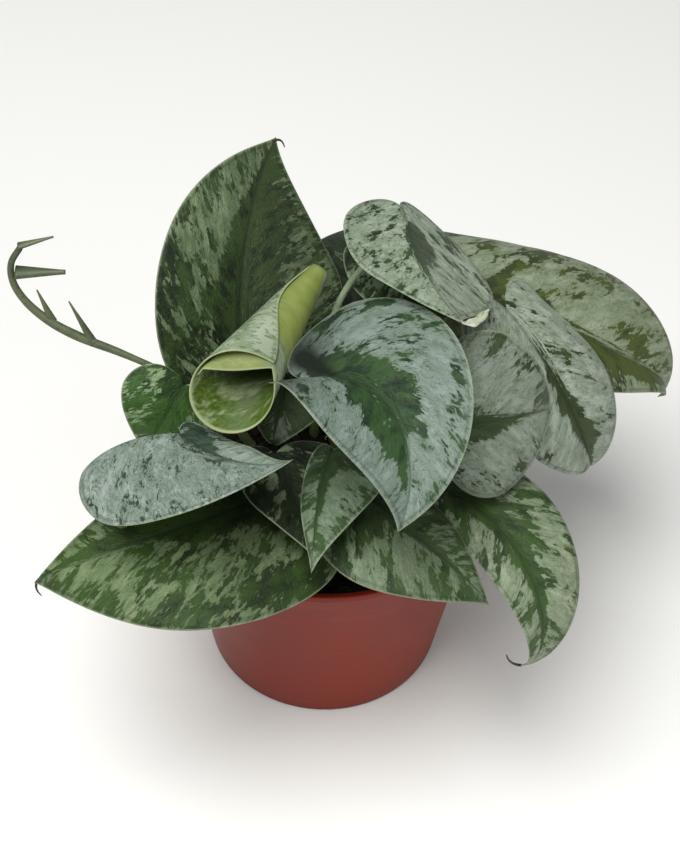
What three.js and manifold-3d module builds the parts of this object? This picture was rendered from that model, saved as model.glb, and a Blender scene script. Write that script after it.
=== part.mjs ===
import * as THREE from 'three';
import { mergeVertices } from 'three/addons/utils/BufferGeometryUtils.js';
import Module from 'manifold-3d';

// A satin pothos in a round nursery pot. Millimetres and degrees, +Z up.
// The origin is the centre of the pot's base. The plant's front is towards -Y.

const wasm = await Module();
wasm.setup();

// ---- Driving dimensions -------------------------------------------------------------------

const GAP = 0.3; // clearance between two pieces that touch

const POT_HEIGHT = 92;
const RIM_RADIUS = 60;
const BASE_RADIUS = 46;
const WALL = 1.8;
const LIP_HEIGHT = 3.5;
const LIP_OVERHANG = 0.8; // how far the lip stands out beyond the wall
const LIP_WIDTH = 2; // of the flat top and its bevel
const LIP_BEVEL = 0.8;
const FLOOR_Z = 4;
const CHANNEL_INNER = 24;
const CHANNEL_OUTER = 41;
const CHANNEL_DEPTH = 2;
const CORNER = 1; // width of each sloping corner under the pot and under its lip
const DRAIN_HOLES = 8;
const DRAIN_RADIUS = 3.5;
const POT_SEGMENTS = 48;
const HOLE_SIDES = 12;
const OVERCUT = 1; // how far a drain hole's cutter runs past the floor

const SOIL_Z = 79;
const SOIL_RELIEF = 1.3;
const SOIL_MARGIN = 0.5; // further clearance from the wall
const SOIL_EDGE = 3; // width of the outermost ring of its top
const SOIL_RINGS = 7;
const SOIL_SEGMENTS = 36;

const STEM_RADIUS = 2.2;
const STEM_TIP_RADIUS = 1.76;
const STEM_SIDES = 8;
const STEM_STEPS = 9;
const STEM_ROOT_DEPTH = 16;
const STEM_HOLE_RADIUS = 2.75;
const STEM_HOLE_TOP = 9; // its cutter's height above the soil

const BLADE = 0.8; // thickness of a leaf blade
const RIB = 0.9; // how far the midrib stands out below the blade
const PETIOLE_FOOT = 1.5;
const PETIOLE_TOP = 1.1;
const PETIOLE_SIDES = 6;
const PETIOLE_STEPS = 8;
const PETIOLE_LAP = 5; // how far it runs along under the blade

const ROW_LENGTH = 9; // a blade has a row of points about every 9 mm
const MIN_ROWS = 6;
const COLUMNS = 3; // columns on each side of the midrib

// ---- The leaves ---------------------------------------------------------------------------

// at: where the blade meets its stalk. heading, pitch, roll: the way the midrib sets off.
// left, right: greatest half widths. droop, sweep, twist: how far the midrib turns down, to its
// left and about itself from end to end. hook: more droop at the tip. fold: how far each half
// rises from the midrib. curl: how far it turns down again at its edge. wave: height of the
// ripple in the edge. stem, height: what it grows from and how far along,
// as a share. bend: the point that its stalk bends towards. closed: how far its left and right
// lobe close behind the stalk, from 0 to 1. tail: the bend and end of the fine tail at its tip.

const leaves = [
  { name: 'leaf_back_left', at: [-32, 13, 135], heading: 103, pitch: 62, roll: 16, length: 89,
    left: 35, right: 39, droop: 40, sweep: -50, twist: 9, fold: 13, curl: 12, hook: -1, wave: 0.8,
    stem: 'stem_left', height: 0.84, bend: [-30, 14, 118], tail: [[-21, 84, 180], [-20, 82, 177]] },
  { name: 'leaf_left_small', at: [-51, -7, 141], heading: -118, pitch: -32, roll: -41, length: 30,
    left: 23, right: 19, droop: 55, sweep: 4, twist: -6, fold: 6, curl: 24, hook: 0, wave: 0.5,
    stem: 'stem_left', height: 0.75, bend: [-52, 3, 121] },
  { name: 'leaf_left_silver', at: [-51, -22, 132], heading: -58, pitch: 18, roll: -2, length: 61,
    left: 11, right: 45, droop: -16, sweep: 32, twist: 11, fold: 7, curl: 21, hook: -16, wave: 0.6,
    stem: 'stem_left', height: 0.58, bend: [-41, -8, 101] },
  { name: 'leaf_lower_left', at: [-18, -33, 115], heading: -139, pitch: 16, roll: -8, length: 95,
    left: 45, right: 25, droop: 57, sweep: -37, twist: 2, fold: 11, curl: 20, hook: 15, wave: 1,
    stem: 'stem_front', height: 0.74, bend: [-18, -30, 110], tail: [[-100, -62, 94], [-97, -64, 93]] },
  { name: 'leaf_front_small', at: [1, -29, 133], heading: -99, pitch: 15, roll: 11, length: 54,
    left: 21, right: 7, droop: 28, sweep: 2, twist: 5, fold: 11, curl: 24, hook: 1, wave: 0.5,
    stem: 'stem_middle', height: 0.58, bend: [19, -22, 127] },
  { name: 'leaf_front_under', at: [-18, -25, 127], heading: -73, pitch: 10, roll: -7, length: 47,
    left: 24, right: 16, droop: 27, sweep: 9, twist: 1, fold: 10, curl: 19, hook: -5, wave: 0.7,
    stem: 'stem_front', height: 0.89, bend: [-13, -22, 119] },
  { name: 'leaf_front_heart', at: [0, -29, 170], heading: -22, pitch: 28, roll: -8, length: 70,
    left: 31, right: 34, droop: 91, sweep: -86, twist: 20, fold: 28, curl: -4, hook: 2, wave: 0.8,
    stem: 'stem_middle', height: 0.9, bend: [2, -10, 145], closed: [1, 0.4] },
  { name: 'leaf_lower_front', at: [14, -39, 122], heading: -53, pitch: 18, roll: -5, length: 60,
    left: 17, right: 30, droop: 62, sweep: 36, twist: 2, fold: 10, curl: 30, hook: 15, wave: 0.6,
    stem: 'stem_right', height: 0.78, bend: [20, -36, 118] },
  { name: 'leaf_lower_right', at: [39, -30, 116], heading: -38, pitch: 31, roll: 2, length: 97,
    left: 23, right: 14, droop: 144, sweep: -40, twist: 10, fold: 12, curl: 32, hook: 15, wave: 0.5,
    stem: 'stem_right', height: 0.71, bend: [35, -25, 105], tail: [[67, -67, 66], [66, -65, 69]] },
  { name: 'leaf_top_silver', at: [25, 31, 184], heading: -84, pitch: 12, roll: -24, length: 65,
    left: 33, right: 25, droop: -6, sweep: 15, twist: 0, fold: -15, curl: -8, hook: -4, wave: 0.8,
    stem: 'stem_middle', height: 0.8, bend: [-6, 24, 166], closed: [1.4, 1.1] },
  { name: 'leaf_top_under', at: [18, 45, 163], heading: -70, pitch: 3, roll: -4, length: 47,
    left: 26, right: 19, droop: 25, sweep: 10, twist: 7, fold: 11, curl: 21, hook: -1, wave: 0.6,
    stem: 'stem_back', height: 0.9, bend: [15, 39, 151] },
  { name: 'leaf_back_right', at: [41, 37, 146], heading: -8, pitch: -3, roll: 9, length: 112,
    left: 59, right: 25, droop: 50, sweep: 6, twist: 12, fold: 24, curl: 104, hook: 59, wave: 0.8,
    stem: 'stem_back', height: 0.86, bend: [35, 27, 138] },
  { name: 'leaf_right_far', at: [61, 19, 158], heading: -48, pitch: -16, roll: -15, length: 88,
    left: 33, right: 28, droop: 89, sweep: 35, twist: 35, fold: 24, curl: 89, hook: 7, wave: 0.6,
    stem: 'stem_back', height: 0.77, bend: [37, 13, 139] },
  { name: 'leaf_right_mid', at: [42, -29, 149], heading: -2, pitch: 13, roll: 54, length: 46,
    left: 31, right: 27, droop: 84, sweep: -9, twist: 6, fold: 11, curl: 29, hook: 5, wave: 0.6,
    stem: 'stem_right', height: 0.89, bend: [35, -28, 120] },
  { name: 'leaf_middle_small', at: [-15, 1, 140], heading: -105, pitch: -38, roll: 0, length: 28,
    left: 15, right: 13, droop: 15, sweep: 0, twist: 0, fold: 8, curl: 20, hook: 100, wave: 1.2,
    stem: 'stem_middle', height: 0.77, bend: [-10, 5, 132] },
  { name: 'leaf_rear_middle', at: [-5, 50, 117], heading: 112, pitch: 13, roll: 22, length: 66,
    left: 25, right: 30, droop: 42, sweep: 1, twist: -2, fold: -4, curl: 28, hook: 5, wave: 0.8,
    stem: 'stem_rear', height: 0.71, bend: [0, 48, 115] },
  { name: 'leaf_rear_left', at: [-26, 38, 114], heading: 122, pitch: 16, roll: 0, length: 82,
    left: 28, right: 30, droop: 65, sweep: 10, twist: 0, fold: 9, curl: 24, hook: 5, wave: 0.8,
    stem: 'stem_rear', height: 0.83, bend: [-27, 41, 113] },
  { name: 'leaf_rear_right', at: [29, 42, 109], heading: 55, pitch: 14, roll: 0, length: 78,
    left: 30, right: 28, droop: 60, sweep: -10, twist: 0, fold: 9, curl: 27, hook: 5, wave: 0.8,
    stem: 'stem_back', height: 0.66, bend: [32, 37, 103] },
  { name: 'leaf_rear_high', at: [10, 44, 136], heading: 90, pitch: 8, roll: 0, length: 62,
    left: 24, right: 24, droop: 40, sweep: -8, twist: 0, fold: 9, curl: 24, hook: 5, wave: 0.6,
    stem: 'stem_back', height: 0.75, bend: [14, 40, 128] },
  { name: 'leaf_side_right', at: [54, 11, 112], heading: 16, pitch: 10, roll: 0, length: 64,
    left: 25, right: 24, droop: 60, sweep: 12, twist: 0, fold: 9, curl: 22, hook: 5, wave: 0.7,
    stem: 'stem_back', height: 0.59, bend: [50, 12, 105] },
];

// The rolled young leaf: a funnel from a wide mouth to a narrow tip. mouthFacing is the way the
// mouth looks. The outer edge lies seamStart degrees round from the way of seam at the mouth and
// seamEnd degrees at the tip, and turns faster towards the tip, by the power seamPower. Its
// corner at the mouth is lifted by cornerLift, which fades over liftAngle degrees. The inner
// layer runs straight across the mouth, foldShare of the radius from the middle at foldAngle
// degrees, and joins the round again after foldLength of the way. The stalk joins at stalkAngle,
// at stalkShare of the way from the mouth to the tip, and reaches stalkLap outside the surface.
const rolledLeaf = {
  mouth: [-33, -20, 151], mouthFacing: [0.05, -0.85, 0.53], mouthRadius: 15,
  tip: [-5, 23, 170], tipRadius: 4.4,
  seam: [0.3, -0.2, 0.93], seamStart: -32, seamEnd: 110, seamPower: 1.5,
  cornerLift: 3.2, liftAngle: 25, foldAngle: 410, foldShare: 0.6, foldLength: 0.6,
  wrap: 475, layerStep: 1.3, rings: 5, steps: 28,
  stem: 'stem_middle', height: 0.87, bend: [-10, 9, 144],
  stalkAngle: 165, stalkShare: 0.45, stalkLap: 0.2,
};

// The runner is one thin vine that reaches out to the left and turns up at its end. It is made
// in stretches between points of its path, and has dried sheaths on it.
const runner = {
  stem: 'stem_left', sheathSteps: 3,
  path: [[-36, 3, 114], [-42, 1, 124], [-50, 1, 132], [-57, 1, 138], [-74, 4, 145], [-88, 6, 150],
    [-98, 8, 155], [-106, 11, 161], [-110, 13, 168], [-110, 14, 176], [-106, 15, 183]],
  stretches: [
    { first: 0, last: 5, startRadius: 1.2, endRadius: 1.3, steps: 10 },
    { first: 5, last: 8, startRadius: 1.8, endRadius: 1.5, steps: 6 },
    { first: 8, last: 10, startRadius: 1.3, endRadius: 1.2, steps: 5 },
  ],
  sheaths: [
    { from: [-83, 5, 148], to: [-91, 10, 163], radius: 1.9, tip: 0.3 },
    { from: [-97, 8, 155], to: [-102, 12, 166], radius: 1.8, tip: 0.3 },
    { from: [-109, 14, 172], to: [-92, 15, 172], radius: 3.2, tip: 0.9 },
    { from: [-107, 15, 183], to: [-95, 17, 186], radius: 1.8, tip: 0.4 },
  ],
};

// Each stem is a smooth line from its root in the soil to its tip.
const stems = {
  stem_left: [[-24, 2], [-26, 4, 92], [-33, 4, 108], [-36, 3, 120]],
  stem_front: [[-6, -14], [-6, -16, 92], [-8, -20, 104], [-6, -16, 116]],
  stem_middle: [[2, 6], [3, 6, 95], [-2, 8, 115], [-4, 6, 134]],
  stem_right: [[24, -10], [25, -12, 92], [28, -18, 106], [32, -17, 118]],
  stem_back: [[24, 16], [26, 18, 95], [30, 24, 120], [28, 30, 148]],
  stem_rear: [[-6, 30], [-6, 32, 92], [-4, 35, 104], [-6, 33, 116]],
};

// ---- Solids and meshes --------------------------------------------------------------------

const rad = THREE.MathUtils.degToRad;
const vec = (p) => new THREE.Vector3(...p);

function solid(geometry) {
  geometry.deleteAttribute('normal');
  geometry.deleteAttribute('uv');
  const merged = mergeVertices(geometry, 1e-4);
  const corners = Array.from(merged.index.array);
  const triangles = [];
  for (let i = 0; i < corners.length; i += 3) {
    const [a, b, c] = corners.slice(i, i + 3);
    if (a !== b && b !== c && c !== a) triangles.push(a, b, c);
  }
  const mesh = new wasm.Mesh({
    numProp: 3,
    vertProperties: Float32Array.from(merged.attributes.position.array),
    triVerts: Uint32Array.from(triangles),
  });
  return new wasm.Manifold(mesh);
}

function piece(name, body, material) {
  const { vertProperties, triVerts } = body.getMesh();
  const geometry = new THREE.BufferGeometry();
  geometry.setAttribute('position', new THREE.BufferAttribute(vertProperties, 3));
  geometry.setIndex(new THREE.BufferAttribute(triVerts, 1));
  geometry.computeVertexNormals();
  const mesh = new THREE.Mesh(geometry, new THREE.MeshStandardMaterial(material));
  mesh.name = name;
  return mesh;
}

// A round bar along a curve, tapered from one radius to another.
function bar(curve, startRadius, endRadius, sides, steps) {
  const section = new THREE.Shape();
  for (let i = 0; i < sides; i++) {
    const angle = (2 * Math.PI * i) / sides;
    const [x, y] = [startRadius * Math.cos(angle), startRadius * Math.sin(angle)];
    if (i === 0) section.moveTo(x, y);
    else section.lineTo(x, y);
  }
  const options = { steps, bevelEnabled: false, extrudePath: curve };
  const geometry = new THREE.ExtrudeGeometry(section, options);
  const centres = curve.getSpacedPoints(steps);
  const corners = geometry.attributes.position;
  const corner = new THREE.Vector3();
  for (let i = 0; i < corners.count; i++) {
    corner.fromBufferAttribute(corners, i);
    const distances = centres.map((centre) => centre.distanceTo(corner));
    const ring = distances.indexOf(Math.min(...distances));
    const scale = 1 + (endRadius / startRadius - 1) * (ring / steps);
    corner.sub(centres[ring]).multiplyScalar(scale).add(centres[ring]);
    corners.setXYZ(i, corner.x, corner.y, corner.z);
  }
  return solid(geometry);
}

// A body turned about the Z axis from a profile of [radius, height] points.
function turned(profile, segments) {
  const points = profile.map(([radius, height]) => new THREE.Vector2(radius, height));
  return new THREE.LatheGeometry(points, segments).rotateX(Math.PI / 2);
}

// An upright cylinder that cuts a hole.
function upright(radius, bottom, top, x, y) {
  const geometry = new THREE.CylinderGeometry(radius, radius, top - bottom, HOLE_SIDES);
  geometry.rotateX(Math.PI / 2).translate(x, y, (bottom + top) / 2);
  return solid(geometry);
}

// ---- Pot ----------------------------------------------------------------------------------

function wallRadius(z) {
  return BASE_RADIUS + ((RIM_RADIUS - LIP_OVERHANG - BASE_RADIUS) * z) / POT_HEIGHT;
}

function makePot() {
  const lipZ = POT_HEIGHT - LIP_HEIGHT;
  const profile = [
    [0, 0], [CHANNEL_INNER, 0], [CHANNEL_INNER + CORNER, CHANNEL_DEPTH],
    [CHANNEL_OUTER - CORNER, CHANNEL_DEPTH], [CHANNEL_OUTER, 0], [BASE_RADIUS - CORNER, 0],
    [wallRadius(CORNER), CORNER], [wallRadius(lipZ - CORNER), lipZ - CORNER], [RIM_RADIUS, lipZ],
    [RIM_RADIUS, POT_HEIGHT - LIP_BEVEL], [RIM_RADIUS - LIP_BEVEL, POT_HEIGHT],
    [RIM_RADIUS - LIP_WIDTH, POT_HEIGHT], [wallRadius(lipZ) - WALL, lipZ],
    [wallRadius(FLOOR_Z) - WALL, FLOOR_Z], [0, FLOOR_Z],
  ];
  let pot = solid(turned(profile, POT_SEGMENTS));
  const ring = (CHANNEL_INNER + CHANNEL_OUTER) / 2;
  for (let i = 0; i < DRAIN_HOLES; i++) {
    const angle = (2 * Math.PI * (i + 0.5)) / DRAIN_HOLES;
    const [x, y] = [ring * Math.cos(angle), ring * Math.sin(angle)];
    pot = pot.subtract(upright(DRAIN_RADIUS, -OVERCUT, FLOOR_Z + OVERCUT, x, y));
  }
  return piece('pot', pot, { color: 0x8a4634, roughness: 0.45, metalness: 0 });
}

// ---- Soil and stems -----------------------------------------------------------------------

function soilTop(x, y) {
  const slow = Math.sin(0.13 * x + 1) * Math.cos(0.11 * y - 0.5);
  const quick = 0.5 * Math.sin(0.37 * x - 0.29 * y + 2);
  return SOIL_Z + SOIL_RELIEF * (slow + quick);
}

function stemCurve(name) {
  const [root, ...rest] = stems[name];
  const [x, y] = root;
  const foot = new THREE.Vector3(x, y, SOIL_Z - STEM_ROOT_DEPTH);
  const collar = new THREE.Vector3(x, y, SOIL_Z);
  return new THREE.CatmullRomCurve3([foot, collar, ...rest.map(vec)]);
}

function makeSoil() {
  const inner = (z) => wallRadius(z) - WALL - GAP - SOIL_MARGIN;
  const bottom = FLOOR_Z + GAP;
  const profile = [[0, bottom], [inner(bottom), bottom], [inner(SOIL_Z), SOIL_Z]];
  for (let i = SOIL_RINGS - 1; i >= 0; i--) {
    profile.push([((inner(SOIL_Z) - SOIL_EDGE) * i) / (SOIL_RINGS - 1), SOIL_Z]);
  }
  const geometry = turned(profile, SOIL_SEGMENTS);
  const points = geometry.attributes.position;
  for (let i = 0; i < points.count; i++) {
    if (points.getZ(i) > bottom + GAP) points.setZ(i, soilTop(points.getX(i), points.getY(i)));
  }
  let soil = solid(geometry);
  for (const name of Object.keys(stems)) {
    const foot = stemCurve(name).getPoint(0);
    const top = SOIL_Z + STEM_HOLE_TOP;
    soil = soil.subtract(upright(STEM_HOLE_RADIUS, foot.z - GAP, top, foot.x, foot.y));
  }
  return piece('soil', soil, { color: 0x1c1714, roughness: 0.95, metalness: 0 });
}

function makeStem(name) {
  const stem = bar(stemCurve(name), STEM_RADIUS, STEM_TIP_RADIUS, STEM_SIDES, STEM_STEPS);
  return piece(name, stem, { color: 0x6f8a4a, roughness: 0.5, metalness: 0 });
}

// ---- Leaves -------------------------------------------------------------------------------

// Half outline of a blade, along and across, for a length and a half width of 1: its lobe behind
// the stalk, open or closed, and its taper to the tip.
const OPEN_LOBE = [[0, 0], [-0.2, 0.3], [-0.1, 1], [0.27, 1]];
const CLOSED_LOBE = [[0, 0], [-0.5, -0.15], [-0.25, 1], [0.27, 1]];
const TAPER = [[0.27, 1], [0.58, 1], [0.8, 0.22], [1, 0]];
const LOBE_SHARE = 0.4; // share of s that the lobe takes
const MIDRIB_STEPS = 48;
const HOOK_START = 0.72;
const RIPPLES = 2.5; // waves along each edge
const RIB_RISE = 6; // the midrib has its full height after 1/6 of s
const TAIL_LAP = 2; // how far a tail starts inside the tip
const TAIL_RADIUS = 0.6;
const TAIL_TIP = 0.3;
const TAIL_STEPS = 4;

const flat = ([x, y]) => new THREE.Vector2(x, y);

function outline(leaf, s, side) {
  const [leftClosed, rightClosed] = leaf.closed ?? [0, 0];
  if (s < LOBE_SHARE) {
    const closed = side < 0 ? rightClosed : leftClosed;
    const corners = OPEN_LOBE.map((corner, i) => flat(corner).lerp(flat(CLOSED_LOBE[i]), closed));
    return new THREE.CubicBezierCurve(...corners).getPoint(s / LOBE_SHARE);
  }
  return new THREE.CubicBezierCurve(...TAPER.map(flat)).getPoint((s - LOBE_SHARE) / (1 - LOBE_SHARE));
}

// The midrib as a list of frames: along, left and up at each step from the stalk to the tip.
function midrib(leaf) {
  const [heading, pitch, roll] = [rad(leaf.heading), rad(leaf.pitch), rad(leaf.roll)];
  const level = new THREE.Vector3(Math.cos(heading), Math.sin(heading), 0);
  const left = new THREE.Vector3(-Math.sin(heading), Math.cos(heading), 0);
  const along = level.clone().multiplyScalar(Math.cos(pitch)).setZ(Math.sin(pitch));
  const up = along.clone().cross(left);
  left.applyAxisAngle(along, roll);
  up.applyAxisAngle(along, roll);
  const place = vec(leaf.at);
  const frames = [{ place: place.clone(), along: along.clone(), left: left.clone(), up: up.clone() }];
  for (let i = 0; i < MIDRIB_STEPS; i++) {
    const share = (i + 0.5) / MIDRIB_STEPS;
    const late = Math.max(0, (share - HOOK_START) / (1 - HOOK_START));
    const hook = (leaf.hook * late * 2) / (1 - HOOK_START);
    const droop = rad(leaf.droop + hook) / MIDRIB_STEPS;
    along.applyAxisAngle(left, droop);
    up.applyAxisAngle(left, droop);
    const sweep = rad(leaf.sweep) / MIDRIB_STEPS;
    along.applyAxisAngle(up, sweep);
    left.applyAxisAngle(up, sweep);
    const twist = rad(leaf.twist) / MIDRIB_STEPS;
    left.applyAxisAngle(along, twist);
    up.applyAxisAngle(along, twist);
    place.addScaledVector(along, leaf.length / MIDRIB_STEPS);
    frames.push({ place: place.clone(), along: along.clone(), left: left.clone(), up: up.clone() });
  }
  return frames;
}

// The frame at a distance along the midrib, which runs straight on behind the stalk.
function frameAt(frames, leaf, distance) {
  const step = THREE.MathUtils.clamp((distance / leaf.length) * MIDRIB_STEPS, 0, MIDRIB_STEPS);
  const index = Math.min(Math.floor(step), MIDRIB_STEPS - 1);
  const mix = step - index;
  const frame = {};
  for (const key of ['place', 'along', 'left', 'up']) {
    frame[key] = frames[index][key].clone().lerp(frames[index + 1][key], mix);
  }
  frame.place.addScaledVector(frames[0].along, Math.min(distance, 0));
  return frame;
}

// A point of the blade and the way up from it. s runs from the stalk to the tip by way of the
// edge, and across from -1 at the right edge to 1 at the left edge.
function bladePoint(frames, leaf, s, across) {
  const share = Math.abs(across);
  const side = Math.sign(across);
  const edge = outline(leaf, s, side);
  const halfWidth = side < 0 ? leaf.right : leaf.left;
  const distance = leaf.length * (s * s * (1 - share) + edge.x * share);
  const width = halfWidth * edge.y * share;
  const frame = frameAt(frames, leaf, distance);
  const fold = rad(leaf.fold);
  const bend = rad(leaf.curl) / halfWidth;
  const slope = fold - bend * width;
  const outward = (Math.sin(fold) - Math.sin(slope)) / bend;
  const phase = 2 * Math.PI * RIPPLES * s + leaf.length;
  const ripple = leaf.wave * (width / halfWidth) ** 2 * Math.sin(phase);
  const rise = (Math.cos(slope) - Math.cos(fold)) / bend + ripple;
  const point = frame.place.addScaledVector(frame.left, side * outward).addScaledVector(frame.up, rise);
  const normal = frame.up.multiplyScalar(Math.cos(slope));
  normal.addScaledVector(frame.left, -side * Math.sin(slope)).normalize();
  return { point, normal };
}

// One closed sheet over a grid of points, which has a face above and a face below. Rows or
// columns whose points fall together end in a single point.
function sheet(rows, columns, pointAt) {
  const places = [];
  const triangles = [];
  const index = (face, row, column) => (face * (rows + 1) + row) * (columns + 1) + column;
  for (let face = 0; face < 2; face++) {
    for (let row = 0; row <= rows; row++) {
      for (let column = 0; column <= columns; column++) {
        const { x, y, z } = pointAt(face, row / rows, column / columns);
        places.push(x, y, z);
      }
    }
  }
  const turn = (face, a, b, c) => triangles.push(...(face === 0 ? [a, b, c] : [a, c, b]));
  for (let face = 0; face < 2; face++) {
    for (let row = 0; row < rows; row++) {
      for (let column = 0; column < columns; column++) {
        const [a, b] = [index(face, row, column), index(face, row, column + 1)];
        const [c, d] = [index(face, row + 1, column), index(face, row + 1, column + 1)];
        if (column < columns / 2) {
          turn(face, a, b, c);
          turn(face, b, d, c);
        } else {
          turn(face, a, d, c);
          turn(face, a, b, d);
        }
      }
    }
  }
  const loop = [];
  for (let row = 0; row < rows; row++) loop.push([row, 0]);
  for (let column = 0; column < columns; column++) loop.push([rows, column]);
  for (let row = rows; row > 0; row--) loop.push([row, columns]);
  for (let column = columns; column > 0; column--) loop.push([0, column]);
  loop.forEach(([row, column], i) => {
    const [nextRow, nextColumn] = loop[(i + 1) % loop.length];
    const [a, b] = [index(0, row, column), index(0, nextRow, nextColumn)];
    const [c, d] = [index(1, row, column), index(1, nextRow, nextColumn)];
    triangles.push(a, b, c, b, d, c);
  });
  const geometry = new THREE.BufferGeometry();
  geometry.setAttribute('position', new THREE.Float32BufferAttribute(places, 3));
  geometry.setIndex(triangles);
  return solid(geometry);
}

function makeBlade(leaf, frames) {
  const rows = Math.max(MIN_ROWS, Math.round(leaf.length / ROW_LENGTH));
  return sheet(rows, 2 * COLUMNS, (face, s, column) => {
    const across = s === 0 || s === 1 ? 0 : 1 - 2 * column;
    const { point, normal } = bladePoint(frames, leaf, s, across);
    const rib = RIB * Math.min(1 - s, RIB_RISE * s) * Math.max(0, 1 - Math.abs(across) * COLUMNS);
    return point.addScaledVector(normal, face === 0 ? BLADE / 2 : -BLADE / 2 - rib);
  });
}

// A stalk runs in one easy bend from its stem to the blade.
function makeStalk(leaf, top) {
  const start = stemCurve(leaf.stem).getPoint(leaf.height);
  const curve = new THREE.QuadraticBezierCurve3(start, vec(leaf.bend), top);
  return bar(curve, PETIOLE_FOOT, PETIOLE_TOP, PETIOLE_SIDES, PETIOLE_STEPS);
}

// What a stalk gives up where it meets its stem.
function stemClearance(name) {
  return bar(stemCurve(name), STEM_RADIUS + GAP, STEM_TIP_RADIUS + GAP, STEM_SIDES, STEM_STEPS);
}

function makeTail(leaf, frames) {
  const { place, along } = frames[MIDRIB_STEPS];
  const start = place.clone().addScaledVector(along, -TAIL_LAP);
  const curve = new THREE.QuadraticBezierCurve3(start, ...leaf.tail.map(vec));
  return bar(curve, TAIL_RADIUS, TAIL_TIP, PETIOLE_SIDES, TAIL_STEPS);
}

function makeLeaf(leaf) {
  const frames = midrib(leaf);
  const { along, up } = frames[0];
  const under = (BLADE + RIB) / 2;
  const top = vec(leaf.at).addScaledVector(along, PETIOLE_LAP).addScaledVector(up, -under);
  const stalk = makeStalk(leaf, top);
  let body = makeBlade(leaf, frames).add(stalk).subtract(stemClearance(leaf.stem));
  if (leaf.tail) body = body.add(makeTail(leaf, frames));
  return piece(leaf.name, body, { color: 0x8ea083, roughness: 0.4, metalness: 0 });
}

// The young leaf is still rolled into a funnel. Its rings turn from the plane of the mouth to
// the plane of the tip, and its edge overlaps its own start.
function rolledPoint(t, angle, inward) {
  const { mouth, mouthFacing, tip, seam, seamStart, seamEnd, seamPower, foldShare } = rolledLeaf;
  const axis = vec(tip).sub(vec(mouth)).normalize();
  const out = vec(mouthFacing).normalize().lerp(axis.clone().negate(), t).normalize();
  const first = vec(seam).projectOnPlane(out).normalize();
  const second = out.clone().cross(first);
  const cone = THREE.MathUtils.lerp(rolledLeaf.mouthRadius, rolledLeaf.tipRadius, t);
  const away = Math.min(angle, Math.abs(2 * Math.PI - angle)) / rad(rolledLeaf.liftAngle);
  const lift = rolledLeaf.cornerLift * (1 - t) ** 2 * Math.exp(-away);
  let radius = cone + lift - (rolledLeaf.layerStep * angle) / (2 * Math.PI);
  const across = Math.cos(angle - rad(rolledLeaf.foldAngle));
  const reach = THREE.MathUtils.lerp(foldShare, 1, Math.min(t / rolledLeaf.foldLength, 1));
  if (angle > 2 * Math.PI && across > reach) radius *= reach / across;
  radius -= inward;
  const round = angle + rad(THREE.MathUtils.lerp(seamStart, seamEnd, t ** seamPower));
  const point = vec(mouth).lerp(vec(tip), t);
  point.addScaledVector(first, radius * Math.cos(round));
  return point.addScaledVector(second, radius * Math.sin(round));
}

function makeRolledLeaf() {
  const { steps, rings, wrap, stalkShare, stalkAngle, stalkLap } = rolledLeaf;
  const funnel = sheet(rings, steps, (face, t, column) => {
    return rolledPoint(t, rad(wrap) * column, face === 0 ? BLADE : 0);
  });
  const top = rolledPoint(stalkShare, rad(stalkAngle), -stalkLap);
  const body = funnel.add(makeStalk(rolledLeaf, top)).subtract(stemClearance(rolledLeaf.stem));
  return piece('leaf_rolled_young', body, { color: 0x87964b, roughness: 0.45, metalness: 0 });
}

// ---- Runner -------------------------------------------------------------------------------

function makeRunner() {
  const bars = runner.stretches.map(({ first, last, startRadius, endRadius, steps }) => {
    const curve = new THREE.CatmullRomCurve3(runner.path.slice(first, last + 1).map(vec));
    return bar(curve, startRadius, endRadius, PETIOLE_SIDES, steps);
  });
  for (const { from, to, radius, tip } of runner.sheaths) {
    const line = new THREE.LineCurve3(vec(from), vec(to));
    bars.push(bar(line, radius, tip, PETIOLE_SIDES, runner.sheathSteps));
  }
  const body = bars.reduce((joined, next) => joined.add(next)).subtract(stemClearance(runner.stem));
  return piece('runner', body, { color: 0x6b7444, roughness: 0.55, metalness: 0 });
}

// ---- The part -----------------------------------------------------------------------------

const plant = new THREE.Group();
plant.add(makePot());
plant.add(makeSoil());
for (const name of Object.keys(stems)) plant.add(makeStem(name));
for (const leaf of leaves) plant.add(makeLeaf(leaf));
plant.add(makeRolledLeaf());
plant.add(makeRunner());

export default plant;
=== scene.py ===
"""A satin pothos in a terracotta-coloured nursery pot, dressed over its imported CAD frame.

Shapes are worked out in millimetres by the same rules as the CAD source, only finer, and are
scaled to metres when a mesh is made.
"""

import math
import random
from itertools import combinations, product

import bpy
import numpy as np
from mathutils import Matrix, Vector, noise


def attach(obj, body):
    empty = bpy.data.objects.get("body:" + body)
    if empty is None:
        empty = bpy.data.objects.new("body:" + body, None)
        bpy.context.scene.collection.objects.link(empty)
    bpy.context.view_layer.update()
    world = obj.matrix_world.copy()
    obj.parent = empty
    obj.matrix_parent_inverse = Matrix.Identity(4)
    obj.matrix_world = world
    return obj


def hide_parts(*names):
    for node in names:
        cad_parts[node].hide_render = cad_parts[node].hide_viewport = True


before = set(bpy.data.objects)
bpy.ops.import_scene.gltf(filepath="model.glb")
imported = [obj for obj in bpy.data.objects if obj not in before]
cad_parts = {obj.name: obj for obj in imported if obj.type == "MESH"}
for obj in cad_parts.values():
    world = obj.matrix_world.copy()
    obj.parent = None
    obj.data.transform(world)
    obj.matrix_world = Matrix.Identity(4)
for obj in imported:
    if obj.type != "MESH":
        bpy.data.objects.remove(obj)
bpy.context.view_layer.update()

MM = 0.001

# ---- The plant's dimensions, in millimetres and degrees ----

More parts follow.
